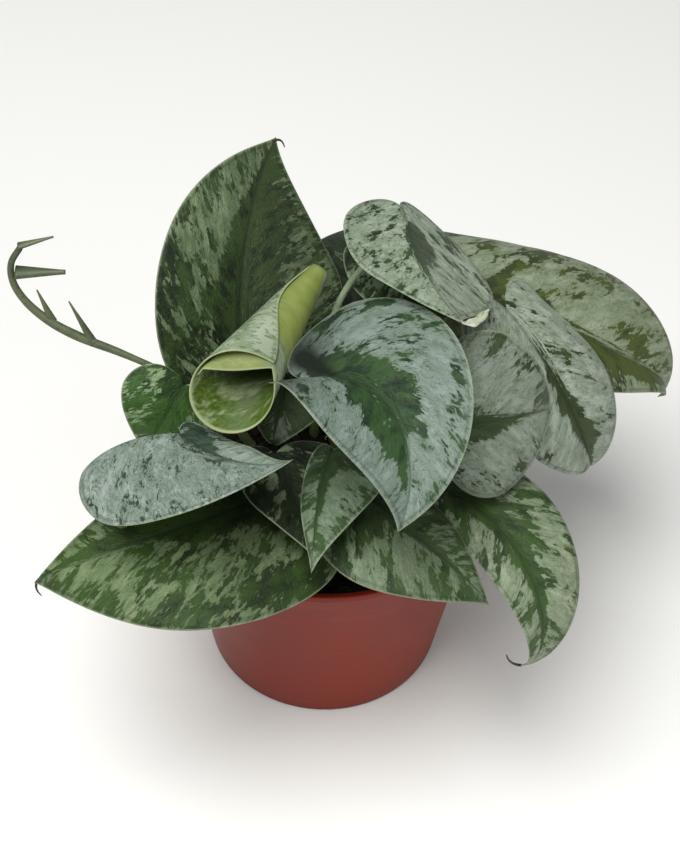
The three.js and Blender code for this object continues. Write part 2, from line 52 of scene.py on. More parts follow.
POT_HEIGHT = 92
RIM_RADIUS = 60
BASE_RADIUS = 46
WALL = 1.8
LIP_HEIGHT = 3.5
LIP_OVERHANG = 0.8
RIM_WIDTH = 2
FLOOR_Z = 4
CHANNEL_INNER = 24
CHANNEL_OUTER = 41
CHANNEL_DEPTH = 2
BEVEL = 1
EDGE_ROUNDING = 0.7
DRAIN_HOLES = 8
DRAIN_RADIUS = 3.5

SOIL_Z = 79
SOIL_RELIEF = 1.3
SOIL_GAP = 0.8
STEM_RADIUS = 2.2
STEM_TIP_RADIUS = 1.76
STEM_ROOT_DEPTH = 16
BLADE = 0.8
RIB = 0.9
PETIOLE_LAP = 5

# Each stem: where it stands, and the points that it passes above the soil.
STEMS = {
    "left": [[-24, 2], [-26, 4, 92], [-33, 4, 108], [-36, 3, 120]],
    "front": [[-6, -14], [-6, -16, 92], [-8, -20, 104], [-6, -16, 116]],
    "middle": [[2, 6], [3, 6, 95], [-2, 8, 115], [-4, 6, 134]],
    "right": [[24, -10], [25, -12, 92], [28, -18, 106], [32, -17, 118]],
    "back": [[24, 16], [26, 18, 95], [30, 24, 120], [28, 30, 148]],
    "rear": [[-6, 30], [-6, 32, 92], [-4, 35, 104], [-6, 33, 116]],
}

# Each leaf: where its blade starts, the way it points there, its length and its left and right
# half widths. Then how far it droops, sweeps and twists in all, the fold along its midrib, the
# curl of each half, the hook of its tip and the height of its waves. Last its stalk's stem, the
# place along the stem and the point that bends the stalk. Most of these values come from the
# builder's own fitting programs.
LEAF_FIELDS = "at heading pitch roll length left right droop sweep twist fold curl hook wave stem height bend"
LEAVES = {
    "back_left": ((-32, 13, 135), 103, 62, 16, 89, 35, 39, 40, -50, 9, 13, 12, -1, 0.8,
        "left", 0.84, (-30, 14, 118)),
    "left_small": ((-51, -7, 141), -118, -32, -41, 30, 23, 19, 55, 4, -6, 6, 24, 0, 0.5,
        "left", 0.75, (-52, 3, 121)),
    "left_silver": ((-51, -22, 132), -58, 18, -2, 61, 11, 45, -16, 32, 11, 7, 21, -16, 0.6,
        "left", 0.58, (-41, -8, 101)),
    "lower_left": ((-18, -33, 115), -139, 16, -8, 95, 45, 25, 57, -37, 2, 11, 20, 15, 1,
        "front", 0.74, (-18, -30, 110)),
    "front_small": ((1, -29, 133), -99, 15, 11, 54, 21, 7, 28, 2, 5, 11, 24, 1, 0.5,
        "middle", 0.58, (19, -22, 127)),
    "front_under": ((-18, -25, 127), -73, 10, -7, 47, 24, 16, 27, 9, 1, 10, 19, -5, 0.7,
        "front", 0.89, (-13, -22, 119)),
    "front_heart": ((0, -29, 170), -22, 28, -8, 70, 31, 34, 91, -86, 20, 28, -4, 2, 0.8,
        "middle", 0.9, (2, -10, 145)),
    "lower_front": ((14, -39, 122), -53, 18, -5, 60, 17, 30, 62, 36, 2, 10, 30, 15, 0.6,
        "right", 0.78, (20, -36, 118)),
    "lower_right": ((39, -30, 116), -38, 31, 2, 97, 23, 14, 144, -40, 10, 12, 32, 15, 0.5,
        "right", 0.71, (35, -25, 105)),
    "top_silver": ((25, 31, 184), -84, 12, -24, 65, 33, 25, -6, 15, 0, -15, -8, -4, 0.8,
        "middle", 0.8, (-6, 24, 166)),
    "top_under": ((18, 45, 163), -70, 3, -4, 47, 26, 19, 25, 10, 7, 11, 21, -1, 0.6,
        "back", 0.9, (15, 39, 151)),
    "back_right": ((41, 37, 146), -8, -3, 9, 112, 59, 25, 50, 6, 12, 24, 104, 59, 0.8,
        "back", 0.86, (35, 27, 138)),
    "right_far": ((61, 19, 158), -48, -16, -15, 88, 33, 28, 89, 35, 35, 24, 89, 7, 0.6,
        "back", 0.77, (37, 13, 139)),
    "right_mid": ((42, -29, 149), -2, 13, 54, 46, 31, 27, 84, -9, 6, 11, 29, 5, 0.6,
        "right", 0.89, (35, -28, 120)),
    "middle_small": ((-15, 1, 140), -105, -38, 0, 28, 15, 13, 15, 0, 0, 8, 20, 100, 1.2,
        "middle", 0.77, (-10, 5, 132)),
    "rear_middle": ((-5, 50, 117), 112, 13, 22, 66, 25, 30, 42, 1, -2, -4, 28, 5, 0.8,
        "rear", 0.71, (0, 48, 115)),
    "rear_left": ((-26, 38, 114), 122, 16, 0, 82, 28, 30, 65, 10, 0, 9, 24, 5, 0.8,
        "rear", 0.83, (-27, 41, 113)),
    "rear_right": ((29, 42, 109), 55, 14, 0, 78, 30, 28, 60, -10, 0, 9, 27, 5, 0.8,
        "back", 0.66, (32, 37, 103)),
    "rear_high": ((10, 44, 136), 90, 8, 0, 62, 24, 24, 40, -8, 0, 9, 24, 5, 0.6,
        "back", 0.75, (14, 40, 128)),
    "side_right": ((54, 11, 112), 16, 10, 0, 64, 25, 24, 60, 12, 0, 9, 22, 5, 0.7,
        "back", 0.59, (50, 12, 105)),
}
# How far the left and right lobes close round the stalk: 0 is open, 1 closed, and more laps past.
CLOSED = {"front_heart": (1, 0.4), "top_silver": (1.4, 1.1)}
LEAVES = {name: dict(zip(LEAF_FIELDS.split(), row), closed=CLOSED.get(name, (0, 0)))
          for name, row in LEAVES.items()}

# The bend and the end of the fine tail at a leaf's tip, or of its withered strip.
TAILS = {
    "back_left": ((-21, 84, 180), (-20, 82, 177)),
    "lower_left": ((-100, -62, 94), (-97, -64, 93)),
    "lower_right": ((67, -67, 66), (66, -65, 69)),
}
WITHERED = {"top_silver": ((45, -26, 190), (50, -22, 196))}

# The young leaf: a cone of blade wound from its mouth to its tip, with one corner lifted.
ROLLED = dict(
    mouth=(-33, -20, 151), facing=(0.05, -0.85, 0.53), mouth_radius=15, tip=(-5, 23, 170), tip_radius=4.4,
    seam=(0.3, -0.2, 0.93), seam_start=-32, seam_end=110, seam_power=1.5, corner_lift=3.2, lift_angle=25,
    fold_angle=410, fold_share=0.6, fold_length=0.6, wrap=475, layer_step=1.3,
    stem="middle", height=0.87, bend=(-10, 9, 144), stalk_angle=165, stalk_share=0.45, stalk_lap=0.2)

RUNNER_PATH = [(-36, 3, 114), (-42, 1, 124), (-50, 1, 132), (-57, 1, 138), (-74, 4, 145),
               (-88, 6, 150), (-98, 8, 155), (-106, 11, 161), (-110, 13, 168), (-110, 14, 176),
               (-106, 15, 183)]
RUNNER_RADII = [1.15, 1.15, 1.15, 1.15, 1.2, 1.5, 1.75, 1.6, 1.4, 1.2, 1.1]
# Dried leaf sheaths on the runner: start and end, and the radius at each.
SHEATHS = [((-83, 5, 148), (-91, 10, 163), 1.9, 0.3), ((-97, 8, 155), (-102, 12, 166), 1.8, 0.3),
           ((-109, 14, 172), (-92, 15, 172), 3.2, 0.9), ((-107, 15, 183), (-95, 17, 186), 1.8, 0.4)]

# ---- The markings ----

# base: how dark the leaf is, from -1 for silver to 1 for green. rim: how much darker the outer
# part of the blade is. patch: size of all the markings. clump: above 1 breaks green and silver up
# more finely. strokes: strength of the dark strokes in the silver. relief: strength of the fine
# bump. band: half widths of the dark band along the midrib, as shares across, at six places from
# stalk to tip, and middle: where the band lies at them, to the left above zero. marks: extra
# blotches as (s, across, reach in s, reach across, strength), dark above zero and silver below it.
# shade: places darkened as painted shade, green and silver alike, in the same form. dark, silver: a
# dull and a bright 8-bit sRGB colour each.
# PLAIN is what a leaf has where its own style says nothing else.
PLAIN = dict(rim=0.05, patch=1, clump=1, strokes=0.5, relief=0.45, middle=(0, 0, 0, 0, 0, 0), marks=(),
             shade=())
STYLES = {
    "back_left": dict(
        base=0.03, rim=-0.05, clump=1.5, strokes=0.8, band=(0.3, 0.2, 0.28, 0.34, 0.3, 0.2),
        middle=(0, 0, 0, -0.03, -0.08, 0),
        marks=((0.4, 0.9, 0.1, 0.2, 0.3), (0.6, 0.6, 0.12, 0.3, -0.2), (0.85, -0.4, 0.15, 0.3, 0.3),
            (0.75, 0.5, 0.15, 0.3, -0.12)),
        shade=((0.65, -0.6, 0.3, 0.5, 0.45), (0.9, 0.0, 0.12, 0.4, 0.3)),
        dark=((24, 34, 20), (52, 72, 34)), silver=((80, 100, 66), (112, 130, 92))),
    "left_small": dict(
        base=0.08, rim=0, clump=1.6, band=(0.2, 0.3, 0.3, 0.3, 0.2, 0.1),
        marks=((0.6, 0.25, 0.12, 0.2, -0.3),),
        dark=((32, 56, 22), (56, 88, 34)), silver=((118, 143, 100), (142, 163, 122))),
    "left_silver": dict(
        base=-0.38, rim=0.1, patch=0.9, clump=1.25, strokes=1.0, relief=0.65,
        band=(0.4, 0.5, 0.28, 0.08, 0, -0.1), middle=(0.3, 0.45, 0.25, 0.05, 0, 0),
        marks=((0.55, -0.6, 0.2, 0.3, 0.14), (0.35, 0.8, 0.1, 0.3, 0.25), (0.85, 0, 0.1, 1, -0.2)),
        dark=((38, 56, 42), (62, 82, 62)), silver=((122, 139, 125), (150, 164, 154))),
    "lower_left": dict(
        base=-0.03, rim=0.04, patch=1.4, clump=1.6, strokes=0.9, band=(0.3, 0.25, 0.25, 0.22, 0.2, 0.1),
        middle=(0, -0.05, -0.08, -0.1, -0.3, -0.4),
        marks=((0.5, 0.5, 0.14, 0.3, -0.1), (0.36, 0.9, 0.06, 0.2, 0.35), (0.56, 0.88, 0.05, 0.12, 0.3),
            (0.75, 0.8, 0.05, 0.1, 0.3), (0.85, 0.3, 0.1, 0.3, -0.2), (0.15, 0, 0.15, 1, 0.3)),
        shade=((0.42, 0.35, 0.16, 0.7, 0.48),),
        dark=((26, 42, 14), (50, 74, 26)), silver=((92, 112, 72), (116, 132, 92))),
    "front_small": dict(
        base=-0.1, band=(0.2, 0.2, 0.18, 0.12, 0.1, 0),
        marks=((0.35, -0.6, 0.15, 0.3, 0.35), (0.58, 0.4, 0.12, 0.4, -0.25), (0.15, 0, 0.15, 1, 0.3)),
        dark=((36, 54, 30), (58, 80, 46)), silver=((98, 116, 90), (118, 134, 114))),
    # front_under's near-black dull green is painted shade, for a leaf lying deep under the others.
    "front_under": dict(
        base=0.12, band=(0.1, 0.15, 0.15, 0.1, 0.1, 0),
        marks=((0.55, -0.5, 0.1, 0.3, -0.2),),
        dark=((6, 12, 4), (28, 40, 18)), silver=((82, 94, 68), (110, 121, 96))),
    "front_heart": dict(
        base=-0.34, rim=0.08, strokes=0.7, relief=0.35, band=(0.35, 0.3, 0.32, 0.46, 0.18, -0.3),
        middle=(0.25, 0.15, 0.03, -0.04, -0.25, -0.2),
        marks=((0.12, 0.5, 0.07, 0.4, 0.3), (0.3, 0.92, 0.12, 0.1, 0.3), (0.38, 0.78, 0.05, 0.1, 0.14),
            (0.47, 0.5, 0.03, 0.08, 0.4), (0.54, 0.86, 0.04, 0.09, 0.45), (0.69, 0.36, 0.04, 0.1, 0.35),
            (0.56, 0.2, 0.04, 0.12, 0.3), (0.5, 0.6, 0.08, 0.14, -0.2), (0.62, -0.62, 0.06, 0.1, -0.3),
            (0.35, -0.85, 0.06, 0.2, 0.3), (0.75, 0.8, 0.1, 0.1, 0.2)),
        shade=((0.17, 0.5, 0.07, 0.8, 1.2), (0.3, -0.95, 0.08, 0.3, 0.7),
            (0.27, 0.85, 0.06, 0.35, 0.35)),
        dark=((24, 42, 28), (50, 76, 40)), silver=((106, 122, 110), (126, 141, 132))),
    "lower_front": dict(
        base=-0.02, patch=1.2, band=(0.3, 0.2, 0.15, 0.1, 0.1, 0), middle=(0, 0, 0.05, 0.08, 0.05, 0),
        marks=((0.4, 0, 0.15, 1, 0.2), (0.62, -0.6, 0.09, 0.35, -0.35), (0.9, 0, 0.1, 0.6, -0.2)),
        dark=((34, 50, 26), (58, 78, 40)), silver=((94, 110, 82), (114, 128, 100))),
    "lower_right": dict(
        base=-0.12, rim=0.0, patch=1.2, band=(0.25, 0.2, 0.17, 0.18, 0.2, 0),
        marks=((0.2, 0, 0.15, 1, 0.3), (0.45, 0.6, 0.05, 0.2, 0.3), (0.58, 0.3, 0.06, 0.15, 0.25),
            (0.3, -0.6, 0.12, 0.4, 0.25), (0.65, -0.6, 0.15, 0.3, -0.2), (0.95, 0, 0.08, 1, -0.3)),
        dark=((36, 52, 26), (58, 82, 38)), silver=((120, 134, 104), (146, 159, 132))),
    "top_silver": dict(
        base=-0.25, rim=0.06, patch=0.9, clump=1.3, strokes=0.9, band=(0.08, 0.18, 0.18, 0.12, -0.05, -0.2),
        middle=(0.05, 0.09, 0.09, 0.06, 0, 0),
        marks=((0.5, -0.55, 0.15, 0.3, 0.12), (0.3, 0.5, 0.1, 0.4, 0.1)),
        dark=((28, 46, 24), (54, 74, 38)), silver=((130, 146, 122), (156, 169, 149))),
    # top_under's dark greens are partly its own deep green and partly painted shade, for a leaf behind
    # top_silver.
    "top_under": dict(
        base=0.1, rim=0.1, band=(0.15, 0.2, 0.2, 0.15, 0.1, 0),
        marks=((0.45, -0.75, 0.1, 0.3, -0.25),),
        dark=((14, 28, 12), (40, 60, 28)), silver=((92, 112, 84), (124, 142, 116))),
    "back_right": dict(
        base=-0.16, patch=1.5, band=(0.1, 0.1, 0.12, 0.2, 0.3, 0.15), middle=(0, 0, 0, -0.1, -0.4, -0.3),
        marks=((0.5, 0.5, 0.08, 0.15, 0.3), (0.4, 0.85, 0.2, 0.12, 0.3), (0.6, 0.2, 0.12, 0.3, -0.15)),
        dark=((38, 50, 28), (66, 78, 32)), silver=((112, 126, 96), (136, 146, 124))),
    "right_far": dict(
        base=-0.32, rim=0.04, patch=1.2, band=(-0.3, -0.25, -0.1, 0.18, 0.26, 0.05),
        middle=(0, 0, 0, -0.1, 0.1, 0.2),
        marks=((0.45, 0.05, 0.05, 0.1, 0.3), (0.78, 0.4, 0.06, 0.2, 0.3), (0.5, 0.75, 0.06, 0.15, 0.25)),
        dark=((24, 36, 20), (50, 66, 28)), silver=((124, 138, 118), (153, 165, 150))),
    "right_mid": dict(
        base=-0.32, rim=0.06, patch=1.1, band=(0.2, 0.2, 0.18, 0.1, 0.02, 0),
        middle=(0, 0, -0.05, -0.05, 0.05, 0),
        marks=((0.5, -0.1, 0.12, 0.16, 0.35), (0.6, 0.85, 0.2, 0.12, 0.2), (0.6, -0.85, 0.2, 0.12, 0.2)),
        dark=((34, 48, 28), (56, 72, 38)), silver=((112, 125, 108), (134, 147, 132))),
    "middle_small": dict(
        base=0.35, rim=0, band=(0.2, 0.2, 0.2, 0.1, 0.1, 0),
        marks=((0.78, 0, 0.16, 0.9, -0.6),),
        dark=((30, 46, 22), (48, 66, 34)), silver=((92, 94, 86), (118, 118, 110))),
    "rear_middle": dict(
        base=0.05, patch=1.2, band=(0.1, 0.15, 0.2, 0.15, 0.1, 0), dark=((34, 50, 28), (58, 78, 40)),
        silver=((98, 114, 86), (118, 132, 106))),
    "rear_left": dict(
        base=-0.08, patch=1.3, band=(0.1, 0.15, 0.2, 0.2, 0.2, 0.1), dark=((34, 52, 26), (60, 82, 38)),
        silver=((102, 120, 86), (124, 138, 108))),
    "rear_right": dict(
        base=-0.18, patch=1.2, band=(0.1, 0.15, 0.2, 0.25, 0.2, 0), dark=((36, 54, 30), (62, 84, 42)),
        silver=((108, 124, 98), (128, 142, 120))),
    # rear_high's near-black greens and dull silver are painted shade, for a leaf deep in the back of the
    # plant.
    "rear_high": dict(
        base=0.3, rim=0.08, patch=1.1, band=(0.1, 0.15, 0.2, 0.2, 0.15, 0), dark=((8, 18, 8), (34, 50, 25)),
        silver=((76, 92, 68), (106, 120, 98))),
    "side_right": dict(
        base=-0.1, patch=1.2, band=(0.1, 0.15, 0.2, 0.2, 0.15, 0), dark=((36, 54, 28), (60, 84, 40)),
        silver=((104, 122, 92), (124, 138, 112))),
}
STYLES = {name: {**PLAIN, **style} for name, style in STYLES.items()}

# ---- Camera, light and floor ----

CAMERA_ELEVATION = 47
CAMERA_ROLL = 2
CAMERA_DISTANCE = 600
CAMERA_TARGET = (4, 0, 116)
LENS = 70.26
SENSOR_WIDTH = 36

# The studio, unlike the plant, is in metres.
FLOOR_REACH = 6.0
LIGHT_TARGET = (0, 0, 0.12)


def new_object(name, data):
    """An object with this data, put into the scene."""
    thing = bpy.data.objects.new(name, data)
    bpy.context.scene.collection.objects.link(thing)
    return thing


def make_camera():
    """The photo's camera, which looks down on the plant and is rolled a little."""
    tilt = math.radians(CAMERA_ELEVATION)
    roll = math.radians(CAMERA_ROLL)
    forward = Vector((0, math.cos(tilt), -math.sin(tilt)))
    flat_right = Vector((1, 0, 0))
    flat_up = Vector((0, math.sin(tilt), math.cos(tilt)))
    right = flat_right * math.cos(roll) + flat_up * math.sin(roll)
    up = flat_up * math.cos(roll) - flat_right * math.sin(roll)
    data = bpy.data.cameras.new("camera")
    data.lens = LENS
    data.sensor_width = SENSOR_WIDTH
    data.clip_start = 0.01
    data.clip_end = 50
    camera = new_object("camera", data)
    place = (Vector(CAMERA_TARGET) - forward * CAMERA_DISTANCE) * MM
    axes = Matrix((right, up, -forward)).transposed()
    camera.matrix_world = Matrix.Translation(place) @ axes.to_4x4()
    bpy.context.scene.camera = camera


def make_light(name, place, size, power, colour):
    """A round lamp that shines on the plant."""
    data = bpy.data.lights.new(name, "AREA")
    data.shape = "DISK"
    data.size = size
    data.energy = power
    data.color = colour
    light = new_object(name, data)
    light.location = place
    aim = Vector(LIGHT_TARGET) - Vector(place)
    light.rotation_euler = aim.to_track_quat("-Z", "Y").to_euler()


def make_studio():
    """Soft light from three lamps and a pale sky, over a wide white floor."""
    make_light("key", (-0.3, -0.35, 1.4), 1.1, 24, (1.0, 0.99, 0.97))
    make_light("side", (1.1, -0.8, 0.7), 0.9, 4, (0.96, 0.98, 1.0))
    make_light("front", (-0.7, -1.3, 0.45), 0.9, 1.5, (1.0, 0.99, 0.98))
    world = bpy.data.worlds.new("studio")
    world.use_nodes = True
    background = world.node_tree.nodes["Background"]
    background.inputs["Color"].default_value = (0.97, 0.985, 1.0, 1)
    background.inputs["Strength"].default_value = 0.25
    bpy.context.scene.world = world
    bpy.context.scene.view_settings.view_transform = "Standard"
    mesh = bpy.data.meshes.new("floor")
    corners = [(x * FLOOR_REACH, y * FLOOR_REACH, 0) for x, y in ((-1, -1), (1, -1), (1, 1), (-1, 1))]
    mesh.from_pydata(corners, [], [(0, 1, 2, 3)])
    floor = new_object("floor", mesh)
    mesh.materials.append(Paint("floor").finish(srgb((240, 240, 238)), 0.85))


# ---- Materials ----


def srgb(colour):
    """An 8-bit sRGB colour as linear RGBA."""
    shares = [c / 255 for c in colour]
    return [s / 12.92 if s <= 0.04045 else ((s + 0.055) / 1.055) ** 2.4 for s in shares] + [1]


class Paint:
    """A node material, with short names for the nodes that the plant's materials share."""

    def __init__(self, name):
        self.material = bpy.data.materials.new(name)
        self.material.use_nodes = True
        self.tree = self.material.node_tree

    def put(self, socket, value):
        """Links another node's output to a socket, or sets the socket's own value."""
        if isinstance(value, bpy.types.NodeSocket):
            self.tree.links.new(value, socket)
        elif value is not None:
            socket.default_value = value

    def node(self, kind, inputs, **settings):
        """A new node's outputs, with its settings made and its inputs put in."""
        node = self.tree.nodes.new("ShaderNode" + kind)
        for setting, value in settings.items():
            setattr(node, setting, value)
        for socket, value in inputs.items():
            self.put(node.inputs[socket], value)
        return node.outputs

    def attribute(self, name):
        return self.node("Attribute", {}, attribute_name=name)["Vector"]

    def place(self):
        return self.node("TexCoord", {})["Object"]

    def split(self, vector):
        return self.node("SeparateXYZ", {0: vector})

    def noise(self, place, scale, detail=3.0, roughness=0.55, distortion=0.0):
        """Noise at a place. Its scale is a number, or three for a pattern that is drawn out."""
        if isinstance(scale, tuple):
            place = self.node("VectorMath", {0: place, 1: scale}, operation="MULTIPLY")["Vector"]
            scale = 1.0
        inputs = {"Vector": place, "Scale": scale, "Detail": detail, "Roughness": roughness,
                  "Distortion": distortion}
        return self.node("TexNoise", inputs)["Fac"]

    def maths(self, operation, a, b=None, c=None):
        return self.node("Math", {0: a, 1: b, 2: c}, operation=operation)["Value"]

    def add(self, a, b):
        return self.maths("ADD", a, b)

    def times(self, a, b):
        return self.maths("MULTIPLY", a, b)

    def step(self, value, low, high, start=0.0, end=1.0):
        """A smooth step from start to end as value goes from low to high."""
        inputs = {"Value": value, "From Min": low, "From Max": high, "To Min": start, "To Max": end}
        return self.node("MapRange", inputs, interpolation_type="SMOOTHSTEP")["Result"]

    def mix(self, share, a, b):
        """Colour a with a share of colour b. A tuple is an 8-bit sRGB colour."""
        a, b = (srgb(colour) if isinstance(colour, tuple) else colour for colour in (a, b))
        return self.node("Mix", {0: share, 6: a, 7: b}, data_type="RGBA")[2]

    def bump(self, height, strength, distance):
        """Relief from a height. The distance is in metres."""
        inputs = {"Height": height, "Strength": strength, "Distance": distance}
        return self.node("Bump", inputs)["Normal"]

    def finish(self, colour, roughness, normal=None, sheen=0.0, specular=0.5):
        """The material, with its shader's inputs put in."""
        inputs = {"Base Color": colour, "Roughness": roughness, "Normal": normal,
                  "Sheen Weight": sheen, "Specular IOR Level": specular}
        for socket, value in inputs.items():
            self.put(self.tree.nodes["Principled BSDF"].inputs[socket], value)
        return self.material


def leaf_top_paint(name):
    """Dark green and silver by a field on the blade, with edges that run along the side veins."""
    style = STYLES[name]
    clump = style["clump"]
    dull_green, bright_green = style["dark"]
    dull_silver, bright_silver = style["silver"]
    paint = Paint(f"leaf_{name}")
    vein = paint.attribute("vein")
    bias, edge, rib = paint.split(paint.attribute("marks"))
    along, _, shade = paint.split(paint.attribute("tone"))
    clouds = paint.noise(vein, (0.11 * clump, 0.07 * clump, 2.3), detail=2.0, roughness=0.5)
    streaks = paint.noise(vein, (0.24 * clump, 0.12 * clump, 1.0), detail=4.0, roughness=0.62,
                          distortion=0.6)
    flecks = paint.noise(vein, (0.75, 0.4, 1.7), detail=2.5, roughness=0.6, distortion=0.5)
    depth = paint.noise(vein, (0.22, 0.14, 3.1), detail=3.0, roughness=0.6)
    grain = paint.noise(vein, (2.6, 2.6, 1.0), detail=2.0)
    mottle = paint.noise(vein, (0.5, 0.36, 5.3), detail=3.0, roughness=0.6, distortion=0.8)
    squiggle = paint.noise(vein, (0.34, 0.2, 4.1), detail=2.0, roughness=0.5, distortion=1.2)

    # Green lies where the field is above zero. Noise is a half on average, so half of what the
    # patterns weigh in all, 4.1, is taken off again.
    field = paint.maths("MULTIPLY_ADD", clouds, 1.5, bias)
    field = paint.maths("MULTIPLY_ADD", streaks, 1.7, field)
    field = paint.maths("MULTIPLY_ADD", flecks, 0.9, field)
    field = paint.add(field, -2.05)
    green = paint.step(field, -0.06, 0.05)
    halfway = paint.step(field, -0.36, 0.0)

    young = paint.maths("MULTIPLY_ADD", along, 0.24, depth)
    dark = paint.mix(paint.step(young, 0.44, 0.74), dull_green, bright_green)
    silver = paint.mix(paint.step(depth, 0.34, 0.62), bright_silver, dull_silver)
    silver = paint.mix(paint.step(mottle, 0.5, 0.66, 0.0, 0.4), silver, bright_green)
    between = [0.5 * a + 0.5 * b for a, b in zip(srgb(dull_silver), srgb(bright_green))]
    silver = paint.mix(paint.times(halfway, 0.6), silver, between)
    # Pale specks in the silver: painted glints of its satin sheen.
    silver = paint.mix(paint.step(grain, 0.3, 0.75, 0.0, 0.1), silver, (190, 200, 190))

    # Dark strokes in the silver, where the squiggle passes through its middle.
    away = paint.maths("ABSOLUTE", paint.add(squiggle, -0.5))
    strokes = paint.times(paint.step(away, 0.01, 0.032, 1.0, 0.0), paint.step(flecks, 0.44, 0.56))
    strokes = paint.times(strokes, paint.step(clouds, 0.4, 0.6, 0.15, style["strokes"]))
    silver = paint.mix(strokes, silver, dull_green)

    # A dark line runs inside the pale edge, and the midrib is darker.
    colour = paint.mix(green, silver, dark)
    colour = paint.mix(paint.step(grain, 0.2, 0.5, 0.22, 0.0), colour, (16, 24, 14))
    # Painted shade: where the shade spots lie, green and silver alike go towards a darker dull green.
    colour = paint.mix(shade, colour, tuple(0.6 * c for c in dull_green))
    line = paint.times(paint.step(edge, 0.9, 1.3), paint.step(edge, 1.7, 2.4, 1.0, 0.0))
    colour = paint.mix(paint.times(line, 0.35), colour, dull_green)
    colour = paint.mix(paint.step(edge, 0.2, 0.65, 0.55, 0.0), colour, (146, 156, 130))
    colour = paint.mix(paint.step(rib, 0.2, 0.7, 0.3, 0.0), colour, dull_green)

    roughness = paint.maths("MULTIPLY_ADD", shade, 0.35, paint.step(grain, 0.25, 0.75, 0.42, 0.58))
    groove = paint.step(away, 0.0, 0.08, 0.0, 0.9)
    height = paint.add(paint.maths("MULTIPLY_ADD", grain, 0.5, groove), paint.times(flecks, 0.6))
    bump = paint.bump(height, style["relief"], 0.0005)
    return paint.finish(colour, roughness, bump, sheen=0.02, specular=0.26)


def leaf_under_paint():
    """The dull pale back of a blade, with a paler midrib and edge."""
    paint = Paint("leaf_underside")
    vein = paint.attribute("vein")
    _, edge, rib = paint.split(paint.attribute("marks"))
    streaks = paint.noise(vein, (0.5, 0.06, 1.0))
    clouds = paint.noise(vein, (0.08, 0.08, 1.0), detail=2.0)
    colour = paint.mix(paint.step(clouds, 0.35, 0.65), (116, 138, 92), (138, 156, 110))
    colour = paint.mix(paint.step(streaks, 0.5, 0.62, 0.0, 0.35), colour, (96, 118, 76))
    colour = paint.mix(paint.step(rib, 0.6, 1.6, 0.6, 0.0), colour, (164, 178, 132))
    colour = paint.mix(paint.step(edge, 0.25, 0.75, 0.6, 0.0), colour, (176, 186, 158))
    roughness = paint.step(streaks, 0.3, 0.7, 0.45, 0.6)
    return paint.finish(colour, roughness, paint.bump(streaks, 0.3, 0.0004), specular=0.35)


def stalk_paint(name, light, dark, spots):
    """A smooth green stalk, with fine lines along it and a few darker spots."""
    paint = Paint(name)
    lines = paint.noise(paint.attribute("vein"), (0.05, 1.0, 1.0))
    clouds = paint.noise(paint.place(), 90.0, detail=2.0)
    dots = paint.noise(paint.place(), 900.0, detail=1.0)
    colour = paint.mix(paint.step(clouds, 0.35, 0.65), light, dark)
    colour = paint.mix(paint.step(lines, 0.45, 0.65, 0.0, 0.4), colour, dark)
    colour = paint.mix(paint.step(dots, 0.6, 0.68, 0.0, 0.6), colour, spots)
    roughness = paint.step(lines, 0.3, 0.7, 0.4, 0.58)
    return paint.finish(colour, roughness, paint.bump(lines, 0.35, 0.0003), specular=0.4)


def scroll_outer_paint():
    """The back of the young leaf: silver and green, and yellow-green where its edge laps over."""
    paint = Paint("scroll_outside")
    vein = paint.attribute("vein")
    angle, edge, along = paint.split(paint.attribute("marks"))
    streaks = paint.noise(vein, (0.25, 0.12, 1.0), roughness=0.6)
    flecks = paint.noise(vein, (0.8, 0.4, 1.0), detail=2.0)
    silver = paint.mix(paint.step(streaks, 0.42, 0.55), (104, 122, 92), (136, 148, 124))
    silver = paint.mix(paint.step(flecks, 0.56, 0.62, 0.0, 0.7), silver, (70, 88, 62))
    fresh = paint.mix(paint.step(streaks, 0.25, 0.75), (108, 122, 58), (124, 136, 70))
    low = paint.step(paint.add(along, paint.times(streaks, 0.2)), 0.28, 0.42)
    low = paint.maths("MAXIMUM", low, paint.step(angle, 360.0, 368.0))
    turned = paint.maths("MULTIPLY_ADD", along, 60.0, angle)
    strip = paint.times(paint.step(turned, 262.0, 280.0), low)
    colour = paint.mix(strip, silver, fresh)
    colour = paint.mix(paint.step(edge, 0.2, 0.8, 0.6, 0.0), colour, (160, 172, 128))
    roughness = paint.step(flecks, 0.3, 0.7, 0.42, 0.56)
    return paint.finish(colour, roughness, paint.bump(flecks, 0.25, 0.0004), sheen=0.03, specular=0.3)


def scroll_inner_paint():
    """The inside of the young leaf: fresh yellow-green with soft silver patches, and painted shade deeper in.
    """
    paint = Paint("scroll_inside")
    vein = paint.attribute("vein")
    angle, edge, along = paint.split(paint.attribute("marks"))
    streaks = paint.noise(vein, (0.12, 0.1, 1.0), roughness=0.6)
    flecks = paint.noise(vein, (0.7, 0.7, 1.0), detail=2.0)
    silver = paint.mix(paint.step(flecks, 0.4, 0.6), (108, 124, 78), (132, 146, 106))
    fresh = paint.mix(paint.step(flecks, 0.4, 0.6), (56, 78, 18), (80, 102, 32))
    patches = paint.add(streaks, paint.step(angle, 60.0, 250.0, 0.14, -0.1))
    colour = paint.mix(paint.step(patches, 0.46, 0.56), fresh, silver)
    # Painted shade: darker deeper inside the cone, towards its tip, except in its last lap.
    painted_hollow_shade = paint.times(paint.step(along, 0.02, 0.4), paint.step(angle, 330.0, 370.0, 1.0, 0.0))
    colour = paint.mix(paint.times(painted_hollow_shade, 0.75), colour, (26, 38, 10))
    colour = paint.mix(paint.step(edge, 0.3, 1.0, 0.75, 0.0), colour, (168, 178, 134))
    roughness = paint.step(flecks, 0.3, 0.7, 0.45, 0.58)
    return paint.finish(colour, roughness, paint.bump(flecks, 0.2, 0.0004), specular=0.3)


